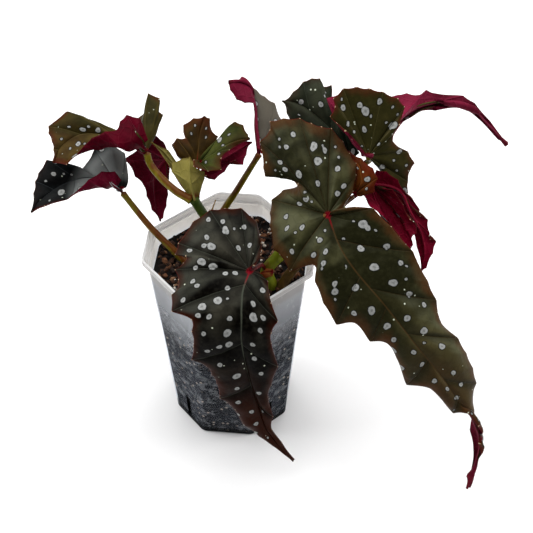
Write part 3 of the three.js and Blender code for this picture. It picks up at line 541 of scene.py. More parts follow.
# Every blade: its slot, then deep and light tone of the upper side, tone toward
# the margin, veins, deep and light tone of the underside.
BLADES = {
    "front": ("dark_blade", "040302", "34322a", "2c0e03", "42463c", "3c0612", "56121e"),
    "great": ("olive_blade", "1a1a0c", "42412a", "422610", "3e2e18", "54081e", "701c30"),
    "arching": ("olive_blade", "26240f", "484020", "3e1e10", "4c4828", "4a061a", "701a32"),
    "hidden": ("grey_blade", "181c14", "32372a", "261c14", "3c4236", "460816", "601a26"),
    "slit": ("crimson_blade", "2c1810", "3c2a18", "421210", "483420", "540316", "740c26"),
    "small": ("young_blade", "3a1b07", "643610", "4c140a", "784a1c", "5a1212", "762822"),
    "upright": ("crimson_blade", "322c1e", "4e4636", "3c1e18", "4e422a", "4e061c", "66162c"),
    "low": ("folded_blade", "090b0c", "222626", "160f0e", "3c4042", "420214", "5c0822"),
    "high": ("folded_blade", "24210c", "4c421e", "3e1a0e", "54482a", "38000c", "500014"),
    "hanging": ("crimson_blade", "281c12", "3a2c1a", "401412", "483622", "420212", "5c081e"),
    "unfolding_brown": ("young_blade", "261b09", "4c3816", "3e1c0d", "5c4824", "581018", "76282a"),
    "unfolding_green": ("fresh_blade", "1e240d", "40441c", "3a2010", "5c6032", "540a20", "742234"),
    "unfolding_red": ("crimson_blade", "421612", "542416", "581016", "603222", "52041a", "76162e"),
    "sheath": ("pale_stipule", "605a24", "8a7e3e", "746230", "625c2a", "68622a", "847a40"),
    "bract": ("pale_stipule", "5e5826", "82783c", "6c562c", "5e582a", "645c2c", "7e7440"),
    "node_scale": ("pale_stipule", "845c2c", "a07a46", "963c24", "7e542c", "8c542e", "a07042"),
}
# Painted sheen on stretches of the upper side: ramp over the distance from the stalk, and tone.
SHEENS = {
    "low": ((24, 34, 0.8, 0.0), "888c8a"),
    "upright": ((30, 45, 0.8, 0.0), "545048"),
}
# Painted sheen on what faces the sky, where it differs from the light tone.
PAINTED_SHEEN = {"front": "4a4b42", "great": "585a44", "arching": "60563a"}
# How much brown spreads up from the tip, where it isn't USUAL_TIP.
TIP_BROWN = {"front": 0.85, "great": 0.6}
# How far the brown of the margin reaches in, where it isn't USUAL_MARGIN.
MARGIN_REACH = {"great": 0.9, "front": 0.65, "small": 0.8, "unfolding_brown": 0.7}
# Painted light: blades that lighten along the midrib, away from the stalk.
LIT_STRETCHES = {"great": "544e30"}
# Leaf stalks: deep and light tone and stain.
STALK_TONES = {
    "red_stalk": ("520610", "6e121a", "460e0e"),
    "young_stalk": ("584214", "705820", "5a2412"),
    "olive_stalk": ("544a08", "807214", "561c0c"),
}
# The margin's usual reach, the tip's usual brown, and how much stalks are stained on top.
USUAL_MARGIN = 0.5
USUAL_TIP = 0.3
STALK_STAIN = 0.36

# ---- Tones and textures ----
SILVER = "949593"
SPOT_GREY = "5c5e5c"
TOOTH_TIP = "b89e80"
RING = "0e100e"
SPECK = "bec4b0"
MARGIN_RED = "48120a"
HEART_RED = "680614"
# The thin edges of stipules, which aren't MARGIN_RED.
RIM_TONES = {"sheath": "8a7e3e", "bract": "82783c", "node_scale": "963c24"}
# Every finish: roughness, specular level and depth of its bumps.
FINISHES = {
    "upper": (0.4, 0.02, 0.35),
    "under": (0.5, 0.03, 0.4),
    "vein": (0.5, 0.08, 0.0),
    "cane": (0.42, 0.14, 0.12),
    "plastic": (0.22, 0.22, 0.2),
    "soil": (0.9, 0.15, 0.4),
    "shade": (1.0, 0.0, 0.0),
    "bark": (0.85, 0.25, 0.6),
    "perlite": (0.9, 0.2, 0.4),
    "floor": (0.9, 0.1, 0.0),
}
# Every noise: scale, detail, then roughness and stretch where they aren't the usual.
NOISES = {
    "broad": (32, 4.0),
    "fine": (420, 3.0),
    "margin": (70, 3.0),
    "speck_gate": (260, 0.0),
    "spot_grain": (900, 2.0),
    "pucker": (160, 3.0),
    "gloss": (90, 3.0),
    "under_patches": (48, 4.0),
    "under_pucker": (200, 3.0),
    "vein_patches": (60, 3.0),
    "streak": (120, 4.0, 0.6, (1.0, 1.0, 0.35)),
    "stain": (55, 3.0),
    "dash_gate": (300, 0.0),
    "cane_grain": (500, 3.0),
    "cloud": (34, 4.0),
    "scuff": (150, 5.0, 0.7, (1.0, 1.0, 0.45)),
    "wall_wave": (60, 2.0),
    "damp": (60, 4.0, 0.6),
    "smear": (150, 6.0, 0.7, (1.0, 1.0, 1.5)),
    "bark_grain": (520, 5.0, 0.65, (1.0, 1.0, 3.0)),
    "perlite": (900, 4.0),
}
# Every pattern of cells: scale, and what its distance is measured to.
CELLS = {
    "net": (150, "DISTANCE_TO_EDGE"),
    "under_net": (170, "DISTANCE_TO_EDGE"),
    "specks": (230, "F1"),
    "dashes": (420, "F1"),
    "crumbs": (330, "F1"),
}
# Every ramp: two values, and what it gives up to the first and from the second on, where
# that isn't RISE.
RISE = (0.0, 1.0)
RAMPS = {
    "broad": (0.46, 0.66),
    "pale_stretch": (0.12, 0.45, 0.0, 0.4),
    "bloom": (0.7, 1.0, 0.0, 0.5),
    "turned_away": (0.35, 0.72, 0.65, 0.0),
    "margin": (8.0, 18.0, 0.8, 0.0),
    "tip": (0.55, 1.0),
    "beside_vein": (0.6, 6.0, 0.65, 0.0),
    "vein_line": (0.1, 0.5, 0.3, 0.0),
    "mottled": (0.4, 0.75, 0.0, 0.14),
    "net": (0.0, 0.07, 0.16, 0.0),
    "off_heart": (4.0, 11.0),
    "speck": (0.08, 0.15, 1.0, 0.0),
    "speck_gate": (0.6, 0.66),
    "ring": (0.25, 0.75, 0.75, 0.0),
    "spot_core": (0.12, 0.55, 0.75, 0.0),
    "spot_grain": (0.4, 0.7, 0.0, 0.45),
    "spot": (-0.18, 0.16, 1.0, 0.0),
    "rib": (0.3, 0.75, 1.0, 0.0),
    "rib_fade": (0.5, 0.8, 0.75, 0.0),
    "red_rib": (3.0, 11.0, 1.3, 0.0),
    "heart": (1.2, 2.8, 0.95, 0.0),
    "rim_line": (0.2, 0.65, 0.85, 0.0),
    "outer_half": (0.5, 0.8),
    "tooth_tip": (0.35, 0.65, 0.9, 0.0),
    "vein_groove": (0.0, 0.7, 0.0, 0.9),
    "gloss": (0.3, 0.7, 0.28, 0.44),
    "under_patches": (0.34, 0.7),
    "under_vein": (0.15, 0.9, 0.4, 0.0),
    "under_net": (0.0, 0.1, 0.3, 0.0),
    "under_rim": (0.2, 0.6, 0.4, 0.0),
    "under_heart": (1.5, 6.0, 0.8, 0.0),
    "under_ridge": (0.0, 1.0, 1.0, 0.0),
    "under_crease": (0.0, 0.12, 0.5, 0.0),
    "vein_patches": (0.35, 0.65),
    "streak": (0.35, 0.65),
    "stain": (0.52, 0.72, 0.0, 0.8),
    "dash": (0.1, 0.22, 0.5, 0.0),
    "dash_gate": (0.58, 0.64),
    "mist": (84.0, 144.0, 0.03, 0.52),
    "mist_above_soil": (SOIL_TOP - 2, SOIL_TOP + 2, 1.0, 0.85),
    "open_part": (SOIL_TOP - 2, SOIL_TOP + 2),
    "rim_band": (LEDGE, LEDGE + 0.4, 0.0, 0.1),
    "ledge_line": (0.3, 0.7, 0.4, 0.0),
    "lip": (POT_HEIGHT - 1.0, POT_HEIGHT - 0.5, 0.0, 0.45),
    "scuff": (0.57, 0.72, 0.0, 0.14),
    "cloud": (0.4, 0.7),
    "base_tint": (1.0, 6.0),
    "damp": (0.38, 0.62),
    "smear": (0.52, 0.58, 0.0, 0.8),
    "crumb": (0.18, 0.36, 1.0, 0.0),
    "pale_crumb": (0.78, 0.82),
    "dark_crumb": (0.75, 0.8),
    "soil_top": (SOIL_TOP - 2.2, SOIL_TOP - 1.3),
    "bark_brown": (0.0, 0.45),
    "bark_tan": (0.45, 0.8),
    "bark_pale": (0.85, 1.0),
    "bark_grain": (0.42, 0.7, 0.0, 0.6),
    "perlite": (0.35, 0.7),
}
# How far noise moves the margin's brown, the tip's brown, the spots' rims and the mist,
# and how much of the fine noise goes into the relief.
MARGIN_WANDER = 14.0
TIP_WANDER = 0.5
SPOT_WANDER = 0.9
MIST_WANDER = 30.0
FINE_RELIEF = 0.35
MIDDLE_NOISE = 0.5
# How much a surface's turn aside and its turn up count as facing the sky, for painted sheen and shade.
SKY_ASIDE = 0.6
SKY_UP = 0.75
OPEN_TINT = 0.4
TRANSLUCENCE = 0.4

# ---- Room: the lights' places in metres, widths in metres and watts ----
ROOM_GLOW = 0.2
LIGHTS = {
    "above": ((0.0, 0.4, 1.6), 2.0, 43),
    "left": ((-1.4, 0.1, 0.8), 0.9, 16),
    "right": ((1.4, 0.1, 0.8), 0.9, 12),
}
TABLE_SIZE = 6
TABLE_DROP = 0.0002


# ---- Sight frame and lines ----
def seen(point):
    """The world place of [right, up, near], or of an array of them."""
    point = np.asarray(point, float)
    right, up, near = point[..., 0:1], point[..., 1:2], point[..., 2:3]
    spread = 1 - near / SIGHT
    return AIM + RIGHT * right * spread + UP * up * spread + NEAR * near


def sighted(places):
    """[right, up, near] of world places, the other way round."""
    offset = places - AIM
    near = offset @ NEAR
    spread = 1 - near / SIGHT
    return np.stack([offset @ RIGHT / spread, offset @ UP / spread, near], axis=-1)


def unit(vectors):
    length = np.linalg.norm(vectors, axis=-1, keepdims=True)
    return vectors / np.maximum(length, 1e-9)


def between(at, rows, known=None):
    """Rows of an array interpolated; they are known at the given values or one apart."""
    known = np.arange(len(rows)) if known is None else known
    return np.stack([np.interp(at, known, column) for column in rows.T], axis=-1)


def measured(points):
    """The steps from point to point, and the length run up to each point."""
    steps = np.linalg.norm(np.diff(points, axis=0), axis=1)
    return steps, np.concatenate([[0.0], np.cumsum(steps)])


class SmoothLine:
    """A centripetal Catmull-Rom line through its points."""

    def __init__(self, points):
        self.points = np.asarray(points, float)
        self.knots = np.linspace(0, 1, LINE_STEPS + 1)
        self.lengths = measured(self.at_knot(self.knots))[1]

    def at_knot(self, knots):
        """Places at shares of the way from point to point."""
        points = self.points
        last = len(points) - 1
        place = np.clip(knots, 0, 1) * last
        index = np.minimum(np.floor(place).astype(int), last - 1)
        weight = (place - index)[:, None]
        before = 2 * points[0] - points[1]
        after = 2 * points[-1] - points[-2]
        padded = np.vstack([before, points, after])
        p0, p1, p2, p3 = (padded[index + step] for step in range(4))
        d0 = np.sqrt(np.linalg.norm(p1 - p0, axis=1))[:, None]
        d1 = np.sqrt(np.linalg.norm(p2 - p1, axis=1))[:, None]
        d2 = np.sqrt(np.linalg.norm(p3 - p2, axis=1))[:, None]
        out = ((p1 - p0) / d0 - (p2 - p0) / (d0 + d1) + (p2 - p1) / d1) * d1
        back = ((p2 - p1) / d1 - (p3 - p1) / (d1 + d2) + (p3 - p2) / d2) * d1
        square = 3 * (p2 - p1) - 2 * out - back
        cube = 2 * (p1 - p2) + out + back
        return p1 + weight * (out + weight * (square + weight * cube))

    def at(self, shares):
        """Places at shares of the line's length."""
        wanted = np.atleast_1d(shares) * self.lengths[-1]
        return self.at_knot(np.interp(wanted, self.lengths, self.knots))


# ---- Blades ----
class HalfSheet:
    """One half of a blade: a grid of places, each row from the rib to the margin."""

    def __init__(self, rib, name, side, turn):
        leaf = LEAVES[name]
        margin = leaf[side]
        fan = leaf[f"{side}_fan"]
        self.turn = -turn if name in TURNED else turn
        self.rolled_from = ROLLED.get((name, side), NEVER)
        ends = np.vstack([seen([point[:3] for point in margin]), rib.at(1.0)])
        steps, lengths = measured(ends)
        run = (lengths - lengths[fan]) / (lengths[-1] - lengths[fan])
        shares = np.clip(run, 0, 1) ** leaf.get(f"{side}_sweep", SWEEP)
        out = ends - rib.at(shares)
        reach = np.linalg.norm(out, axis=1)
        rise = turn * leaf.get(f"{side}_belly", BELLY) * reach
        rise = rise * (1 - shares) ** leaf.get(f"{side}_taper", 0)
        sway = np.array([point[3:5] or [0, 0] for point in [*margin, []]], float)
        bow = unit(np.cross(out, np.gradient(ends, axis=0))) * rise[:, None]
        bow += sway[:, :1] * RIGHT + sway[:, 1:] * UP
        counts = np.maximum(1, np.ceil(steps / GRID)).astype(int)
        parts = [step + np.arange(count) / count for step, count in enumerate(counts)]
        self.rows = np.concatenate([*parts, [len(steps)]])
        self.shares = np.interp(self.rows, np.arange(len(shares)), shares)
        self.size = float(np.clip(reach.max() / QUILT_WIDTH, *QUILT_SIZES))
        columns = max(LEAST_COLUMNS, int(math.ceil(reach.max() / GRID)))
        self.columns = np.linspace(0, 1, columns + 1)
        across = self.columns[None, :, None]
        start = rib.at(self.shares)
        end = self.toothed(ends, steps, start)
        self.places = start[:, None] * (1 - across) + end[:, None] * across
        self.places = self.places + np.sin(np.pi * across) * between(self.rows, bow)[:, None]
        veins = VEINS.get((name, side)) or self.spaced_veins(lengths, len(margin))
        self.vein_rows = [int(np.argmin(np.abs(self.rows - vein))) for vein in veins]
        self.vein = self.distance_to(self.places[row] for row in self.vein_rows)
        self.tip = self.distance_to(ends[:-1])
        self.edge = np.linalg.norm(self.places - self.places[:, -1:], axis=-1)
        self.normals = self.grid_normals()

    def toothed(self, ends, steps, start):
        """The margin, a little rounded at its points and hollow from tooth to tooth."""
        straight = between(self.rows, ends)
        curved = SmoothLine(ends).at_knot(self.rows / len(steps))
        line = straight + ROUNDNESS * (curved - straight)
        middles = np.arange(len(steps)) + 0.5
        size = np.interp(self.rows, middles, np.minimum(1, steps / TOOTH_PITCH))
        notch = TOOTH * size * np.sin(np.pi * (self.rows - np.floor(self.rows)))
        return line + unit(start - line) * notch[:, None]

    def spaced_veins(self, lengths, last):
        """The margin points where main veins end, VEIN_SPACING apart."""
        chosen = [0]
        for index in range(1, last):
            far_enough = lengths[index] - lengths[chosen[-1]] >= VEIN_SPACING
            if far_enough and lengths[-1] - lengths[index] > VEIN_SPACING / 2:
                chosen.append(index)
        return chosen[1:]

    def distance_to(self, marks):
        """How far each place is from the nearest mark, one of them or one for each column."""
        nearest = np.full(self.places.shape[:2], FAR_OFF)
        for mark in marks:
            nearest = np.minimum(nearest, np.linalg.norm(self.places - mark, axis=-1))
        return nearest

    def grid_normals(self):
        down = np.gradient(self.places, axis=0)
        across = np.gradient(self.places, axis=1)
        normals = np.cross(down, across) * -self.turn
        normals[-1] = normals[-2]
        fan = self.shares <= 0
        normals[fan, 0] = normals[fan, 1]
        return unit(normals)

    def normals_along(self, shares, column):
        """The normals of one column, at shares of the rib."""
        order = np.argsort(self.shares, kind="stable")
        return between(shares, self.normals[order, column], self.shares[order])


def ripple(places):
    """A slow waviness of a surface, from -1 to 1."""
    wave = np.zeros(places.shape[:-1])
    for length, direction, start in RIPPLES:
        wave += np.sin(places @ np.array(direction) * 2 * np.pi / length + start)
    return wave / len(RIPPLES)


def leaf_halves(name):
    """A blade's rib and halves, with one normal along the rib and quilted between the veins."""
    rib = SmoothLine(seen(LEAVES[name]["rib"]))
    halves = [HalfSheet(rib, name, "right", 1), HalfSheet(rib, name, "left", -1)]
    shares = np.linspace(0, 1, RIB_STEPS)
    shared = unit(sum(half.normals_along(shares, 1) for half in halves))
    for half in halves:
        half.normals[:, 0] = unit(between(half.shares, shared, shares))
        raised = QUILT * half.size * (1 - np.exp(-half.vein / (QUILT_REACH * half.size)))
        hold = np.sin(np.pi * half.columns)[None] ** QUILT_HOLD
        waved = raised + RIPPLE * ripple(half.places)
        half.places += half.normals * (waved * hold)[..., None]
    return rib, halves


class Sight:
    """How near the nearest blade is, in cells of the view."""

    CELL = 1.5
    SHIFT = 200
    CLEAR = 3

    def __init__(self, sheets):
        size = int(2 * self.SHIFT / self.CELL)
        self.nearest = np.full((size, size), -np.inf)
        for half in sheets:
            at = sighted(half.places).reshape(-1, 3)
            np.maximum.at(self.nearest, self.cells(at), at[:, 2])

    def cells(self, at):
        return tuple(((at[:, :2] + self.SHIFT) / self.CELL).astype(int).T)

    def hides(self, at):
        return self.nearest[self.cells(at)] > at[:, 2] + self.CLEAR


class SpotField:
    """Signed distance to the spots' edges and share of their radius, for one leaf."""

    SEEN_REACH = 1.2
    SEEN_FACING = 0.08
    HIDDEN_FACING = -0.05
    HIDDEN_ACROSS = (0.16, 0.93)
    HIDDEN_RUN = 0.85
    HIDDEN_TRIES = 900
    HIDDEN_ROOM = 8.5
    HIDDEN_RADII = (0.75, 1.3, 1.6, 2.1)
    WOBBLES = (0.09, 0.05)
    LENGTH = 1.15
    DEPTH = 0.5

    def __init__(self, name, halves, sight, draw):
        self.places = np.vstack([half.places.reshape(-1, 3) for half in halves])
        self.normals = np.vstack([half.normals.reshape(-1, 3) for half in halves])
        eye = AIM + NEAR * SIGHT
        self.facing = np.einsum("ij,ij->i", self.normals, unit(eye - self.places))
        self.at = sighted(self.places)
        veins = [np.gradient(half.places, axis=1).reshape(-1, 3) for half in halves]
        self.along = unit(np.vstack(veins))
        self.across = np.concatenate([np.tile(half.columns, len(half.rows)) for half in halves])
        self.run = np.concatenate([np.repeat(half.shares, len(half.columns)) for half in halves])
        self.distance = np.full(len(self.places), FAR_OFF)
        self.core = np.full(len(self.places), FAR_OFF)
        self.centres = []
        self.draw = draw
        for size, marks in SPOTS.get(name, {}).items():
            for mark in marks:
                self.add_seen(mark, SPOT_RADIUS[size])
        if name not in PLAIN_BLADES:
            self.add_hidden(sight)

    def add_seen(self, mark, radius):
        """A spot on the nearest part of the blade that shows its upper side at the mark."""
        off = np.linalg.norm(self.at[:, :2] - np.array(mark, float), axis=1)
        close = (off < self.SEEN_REACH) & (self.facing > self.SEEN_FACING)
        if close.any():
            self.add(np.argmax(np.where(close, self.at[:, 2] - off, -np.inf)), radius)

    def add_hidden(self, sight):
        """Seeded spots over what the front view doesn't show."""
        unseen = (self.facing < self.HIDDEN_FACING) | sight.hides(self.at)
        inner, outer = self.HIDDEN_ACROSS
        within = (self.across > inner) & (self.across < outer) & (self.run < self.HIDDEN_RUN)
        candidates = np.flatnonzero(unseen & within)
        self.draw.shuffle(candidates)
        for index in candidates[:self.HIDDEN_TRIES]:
            place = self.places[index]
            room = [np.linalg.norm(place - centre) for centre in self.centres]
            if not room or min(room) > self.HIDDEN_ROOM:
                self.add(index, self.draw.choice(self.HIDDEN_RADII))

    def add(self, index, radius):
        """A wobbly round spot, a little long along the veins."""
        centre = self.places[index]
        normal = self.normals[index]
        along = self.along[index]
        offset = self.places - centre
        x = offset @ along
        y = offset @ np.cross(normal, along)
        z = offset @ normal
        turn = np.arctan2(y, x)
        oval, lobed = self.draw.uniform(0, 2 * np.pi, 2)
        wobble = 1 + self.WOBBLES[0] * np.sin(2 * turn + oval)
        wobble = wobble + self.WOBBLES[1] * np.sin(3 * turn + lobed)
        away = np.sqrt((x / self.LENGTH) ** 2 + y ** 2 + (z / self.DEPTH) ** 2)
        away = away / (radius * wobble)
        self.distance = np.minimum(self.distance, (away - 1) * radius)
        self.core = np.minimum(self.core, away)
        self.centres.append(centre)


# ---- Meshes ----
# Values held at the corners: signed distance to a spot, share of its radius, distance to
# a vein, to the margin and to the stalk, share of the way out, distance to a tooth and to
# the rib, share of the way along the rib.
FIELDS = ("spot", "core", "vein", "edge", "heart", "along", "tip", "rib", "run")


class MeshBuilder:
    """Collects corners, faces with a material number, and values held at corners."""

    def __init__(self):
        self.corners = []
        self.faces = []
        self.looks = []
        self.fields = {field: [] for field in FIELDS}
        self.count = 0

    def add(self, corners, faces, look, **fields):
        corners = np.asarray(corners, float).reshape(-1, 3)
        base = self.count
        self.corners.append(corners)
        self.count += len(corners)
        self.faces.extend([[base + index for index in face] for face in faces])
        self.looks.extend(np.broadcast_to(look, (len(faces),)).tolist())
        for field, held in self.fields.items():
            value = np.ravel(fields.get(field, FAR_OFF)).astype(float)
            held.append(np.broadcast_to(value, (len(corners),)))
        return base

    def build(self, name, materials):
        mesh = bpy.data.meshes.new(name)
        mesh.from_pydata((np.vstack(self.corners) * MM).tolist(), [], self.faces)
        for field, held in self.fields.items():
            layer = mesh.attributes.new(field, "FLOAT", "POINT")
            layer.data.foreach_set("value", np.concatenate(held).astype(np.float32))
        for material in materials:
            mesh.materials.append(material)
        mesh.polygons.foreach_set("material_index", self.looks)
        mesh.polygons.foreach_set("use_smooth", [True] * len(self.looks))
        mesh.update()
        piece = bpy.data.objects.new(name, mesh)
        bpy.context.scene.collection.objects.link(piece)
        weld(mesh)
        return piece


def one_skin(name, skin, materials):
    """A piece of one skin, its corners and faces, in the first of its materials."""
    builder = MeshBuilder()
    builder.add(*skin, 0)
    return builder.build(name, materials)


def carried(piece, node, slot):
    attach(piece, "root")
    if node:
        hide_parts(node)


def weld(mesh):
    """Joins corners that lie on one another, where a fan of veins starts."""
    work = bmesh.new()
    work.from_mesh(mesh)
    bmesh.ops.remove_doubles(work, verts=work.verts, dist=WELD * MM)
    work.to_mesh(mesh)
    work.free()
    mesh.update()


def wall_faces(rings, sides):
    """Faces from ring to ring, where each ring has the same number of corners."""
    faces = []
    for ring in range(rings - 1):
        for side in range(sides):
            a = ring * sides + side
            b = ring * sides + (side + 1) % sides
            faces.append([a, b, b + sides, a + sides])
    return faces


def stack(rings):
    """Closed skin over flat rings: corners and faces."""
    sides = len(rings[0])
    last = (len(rings) - 1) * sides
    faces = wall_faces(len(rings), sides)
    faces.append(list(range(sides))[::-1])
    faces.append([last + side for side in range(sides)])
    return np.vstack(rings), faces


def tube(path, radii, sides):
    """Closed skin of rings along a path: corners and faces."""
    path = np.asarray(path, float)
    tangents = unit(np.gradient(path, axis=0))
    side = np.cross(tangents[0], ASLANT)
    rings = []
    angles = np.arange(sides) / sides * 2 * np.pi
    for place, tangent, radius in zip(path, tangents, radii):
        side = side - tangent * (side @ tangent)
        side = side / np.linalg.norm(side)
        other = np.cross(tangent, side)
        ring = np.cos(angles)[:, None] * side + np.sin(angles)[:, None] * other
        rings.append(place + ring * radius)
    faces = wall_faces(len(path), sides)
    start = len(path) * sides
    last = start - sides
    for step in range(sides):
        after = (step + 1) % sides
        faces.append([start, after, step])
        faces.append([start + 1, last + step, last + after])
    return np.vstack([*rings, path[:1], path[-1:]]), faces


def grid_faces(rows, columns, flip):
    index = np.arange(rows * columns).reshape(rows, columns)
    a, b = index[:-1, :-1], index[:-1, 1:]
    c, d = index[1:, 1:], index[1:, :-1]
    quads = [a, b, c, d] if flip else [a, d, c, b]
    return np.stack([quad.ravel() for quad in quads], axis=1)


UPPER_LOOK, UNDER_LOOK, EDGE_LOOK, VEIN_LOOK = range(4)


def add_half(builder, half, start, spot, core):
    """The two skins of a half sheet and the rim that closes them."""
    rows, columns = half.places.shape[:2]
    thin = EDGE_HALF + (BLADE_HALF - EDGE_HALF) * np.clip(half.edge / EDGE_REACH, 0, 1)
    offset = half.normals * thin[..., None]
    values = {
        "spot": spot,
        "core": core,
        "vein": half.vein,
        "edge": half.edge,
        "heart": np.linalg.norm(half.places - start, axis=-1),
        "along": np.broadcast_to(half.columns[None], (rows, columns)),
        "tip": half.tip,
        "rib": np.linalg.norm(half.places - half.places[:, :1], axis=-1),
        "run": np.broadcast_to(half.shares[:, None], (rows, columns)),
    }
    flip = half.turn > 0
    quads = grid_faces(rows, columns, flip)
    rolled = half.shares[quads[:, 0] // columns] >= half.rolled_from
    looks = np.where(rolled, UNDER_LOOK, UPPER_LOOK)
    upper = builder.add(half.places + offset, quads.tolist(), looks, **values)
    quads = grid_faces(rows, columns, not flip)
    under = builder.add(half.places - offset, quads.tolist(), UNDER_LOOK, **values)
    index = np.arange(rows * columns).reshape(rows, columns)
    rim = np.concatenate([index[0, :], index[1:, -1]]).tolist()
    for a, b in zip(rim[:-1], rim[1:]):
        face = [upper + a, upper + b, under + b, under + a]
        builder.faces.append(face[::-1] if flip else face)
        builder.looks.append(EDGE_LOOK)


def add_underside_veins(builder, rib, halves, knob):
    """The midrib and the main veins, standing out of the underside."""
    shares = np.linspace(0, MIDRIB_END, RIB_STEPS)
    normals = unit(halves[0].normals_along(shares, 0))
    radii = MIDRIB_START * knob * (1 - shares) ** MIDRIB_TAPER + MIDRIB_TIP
    path = rib.at(shares) - normals * radii[:, None]
    builder.add(*tube(path, radii, MIDRIB_SIDES), VEIN_LOOK)
    for half in halves:
        stop = max(VEIN_STEPS, int(len(half.columns) * VEIN_END))
        radii = VEIN_START * (1 - np.linspace(0, 1, stop)) + VEIN_TIP
        sink = (radii + VEIN_SINK)[:, None]
        for row in half.vein_rows:
            line = half.places[row, :stop] - half.normals[row, :stop] * sink
            builder.add(*tube(line, radii, VEIN_SIDES), VEIN_LOOK)


def build_blade(name, rib, halves, sight, draw):
    spots = SpotField(name, halves, sight, draw)
    builder = MeshBuilder()
    first = 0
    for half in halves:
        chosen = slice(first, first + half.vein.size)
        add_half(builder, half, rib.at(0.0)[0], spots.distance[chosen], spots.core[chosen])
        first = chosen.stop
    add_underside_veins(builder, rib, halves, LEAVES[name]["knob"])
    slot, *paint = BLADES[name]
    rim_tone = RIM_TONES.get(name, MARGIN_RED)
    materials = [
        upper_material(name, paint),
        under_material(name, paint),
        Paint(f"edge_{name}", "vein", rim_tone).finish(),
        vein_material(name, paint),
    ]
    carried(builder.build(f"leaf_{name}", materials), f"blade_{name}", slot)


# ---- Materials ----
def linear(tone):
    """A tone as the renderer's linear values, by the sRGB curve."""
    shares = [value / 255 for value in bytes.fromhex(tone)]
    curved = [
        share / 12.92 if share <= 0.04045 else ((share + 0.055) / 1.055) ** 2.4
        for share in shares
    ]
    return (*curved, 1.0)


class Paint:
    """A material with coats of colour laid one over another, made by short calls."""

    def __init__(self, name, finish, tone):
        roughness, specular, self.depth = FINISHES[finish]
        self.color = tone
        self.material = bpy.data.materials.new(name)
        self.material.use_nodes = True
        self.tree = self.material.node_tree
        self.surface = self.tree.nodes["Principled BSDF"]
        self.surface.inputs["Roughness"].default_value = roughness
        self.surface.inputs["Specular IOR Level"].default_value = specular
        self.place = self.node("ShaderNodeTexCoord").outputs["Object"]

    def node(self, kind, inputs=None, **settings):
        """A new node with its settings made, and then its inputs set or linked."""
        made = self.tree.nodes.new(kind)
        for key, value in settings.items():
            setattr(made, key, value)
        for socket, value in (inputs or {}).items():
            self.put(value, made.inputs[socket])
        return made

    def put(self, value, socket):
        """A number or a tone set on a socket, or a link to it."""
        if isinstance(value, bpy.types.NodeSocket):
            self.tree.links.new(value, socket)
        else:
            socket.default_value = linear(value) if isinstance(value, str) else value

    def field(self, name):
        return self.node("ShaderNodeAttribute", attribute_name=name).outputs["Fac"]

    def noise(self, name):
        return self.clouds(*NOISES[name])

    def clouds(self, scale, detail, roughness=0.55, stretch=(1.0, 1.0, 1.0)):
        mapping = self.node("ShaderNodeMapping", {"Vector": self.place, "Scale": stretch})
        inputs = {"Scale": scale, "Detail": detail, "Roughness": roughness}
        inputs["Vector"] = mapping.outputs["Vector"]
        return self.node("ShaderNodeTexNoise", inputs).outputs["Fac"]

    def cells(self, name):
        scale, feature = CELLS[name]
        inputs = {"Vector": self.place, "Scale": scale}
        return self.node("ShaderNodeTexVoronoi", inputs, feature=feature).outputs

    def ramp(self, value, ramp):
        """A smooth change with the value, by a ramp's name or its numbers."""
        low, high, start, end = (*RAMPS.get(ramp, ramp), *RISE)[:4]
        inputs = {"Value": value, "From Min": low, "From Max": high, "To Min": start, "To Max": end}
        made = self.node("ShaderNodeMapRange", inputs, interpolation_type="SMOOTHSTEP")
        return made.outputs["Result"]

    def math(self, operation, first, second=0.0):
        inputs = {0: first, 1: second}
        return self.node("ShaderNodeMath", inputs, operation=operation).outputs["Value"]

    def plus(self, first, second):
        return self.math("ADD", first, second)

    def times(self, first, second):
        return self.math("MULTIPLY", first, second)

    def axes(self, vector):
        return self.node("ShaderNodeSeparateXYZ", {"Vector": vector}).outputs

    def normal(self):
        return self.axes(self.node("ShaderNodeNewGeometry").outputs["Normal"])

    def height(self):
        """Height above the table."""
        return self.times(self.axes(self.place)["Z"], 1 / MM)

    def skyward(self):
        """How far the surface turns up or to either side, where soft light falls on it."""
        normal = self.normal()
        aside = self.times(self.math("ABSOLUTE", normal["X"]), SKY_ASIDE)
        return self.plus(aside, self.times(normal["Z"], SKY_UP))

    def mix(self, share, first, second):
        inputs = {"Factor": share, 6: first, 7: second}
        return self.node("ShaderNodeMix", inputs, data_type="RGBA").outputs[2]

    def coat(self, tone, value, ramp=None):
        """Lays a tone over the colour so far, as much as the value says, or its ramp."""
        share = self.ramp(value, ramp) if ramp else value
        self.color = self.mix(share, self.color, tone)

    def blend(self, share, first, second):
        """A mix of two surfaces."""
        return self.node("ShaderNodeMixShader", {"Fac": share, 1: first, 2: second}).outputs[0]

    def finish(self, height=None, roughness=None):
        """The material in its colour so far, bumped by a height."""
        self.put(self.color, self.surface.inputs["Base Color"])
        if height:
            bump = self.node("ShaderNodeBump", {"Distance": self.depth * MM, "Height": height})
            self.put(bump.outputs["Normal"], self.surface.inputs["Normal"])
        if roughness:
            self.put(roughness, self.surface.inputs["Roughness"])
        return self.material


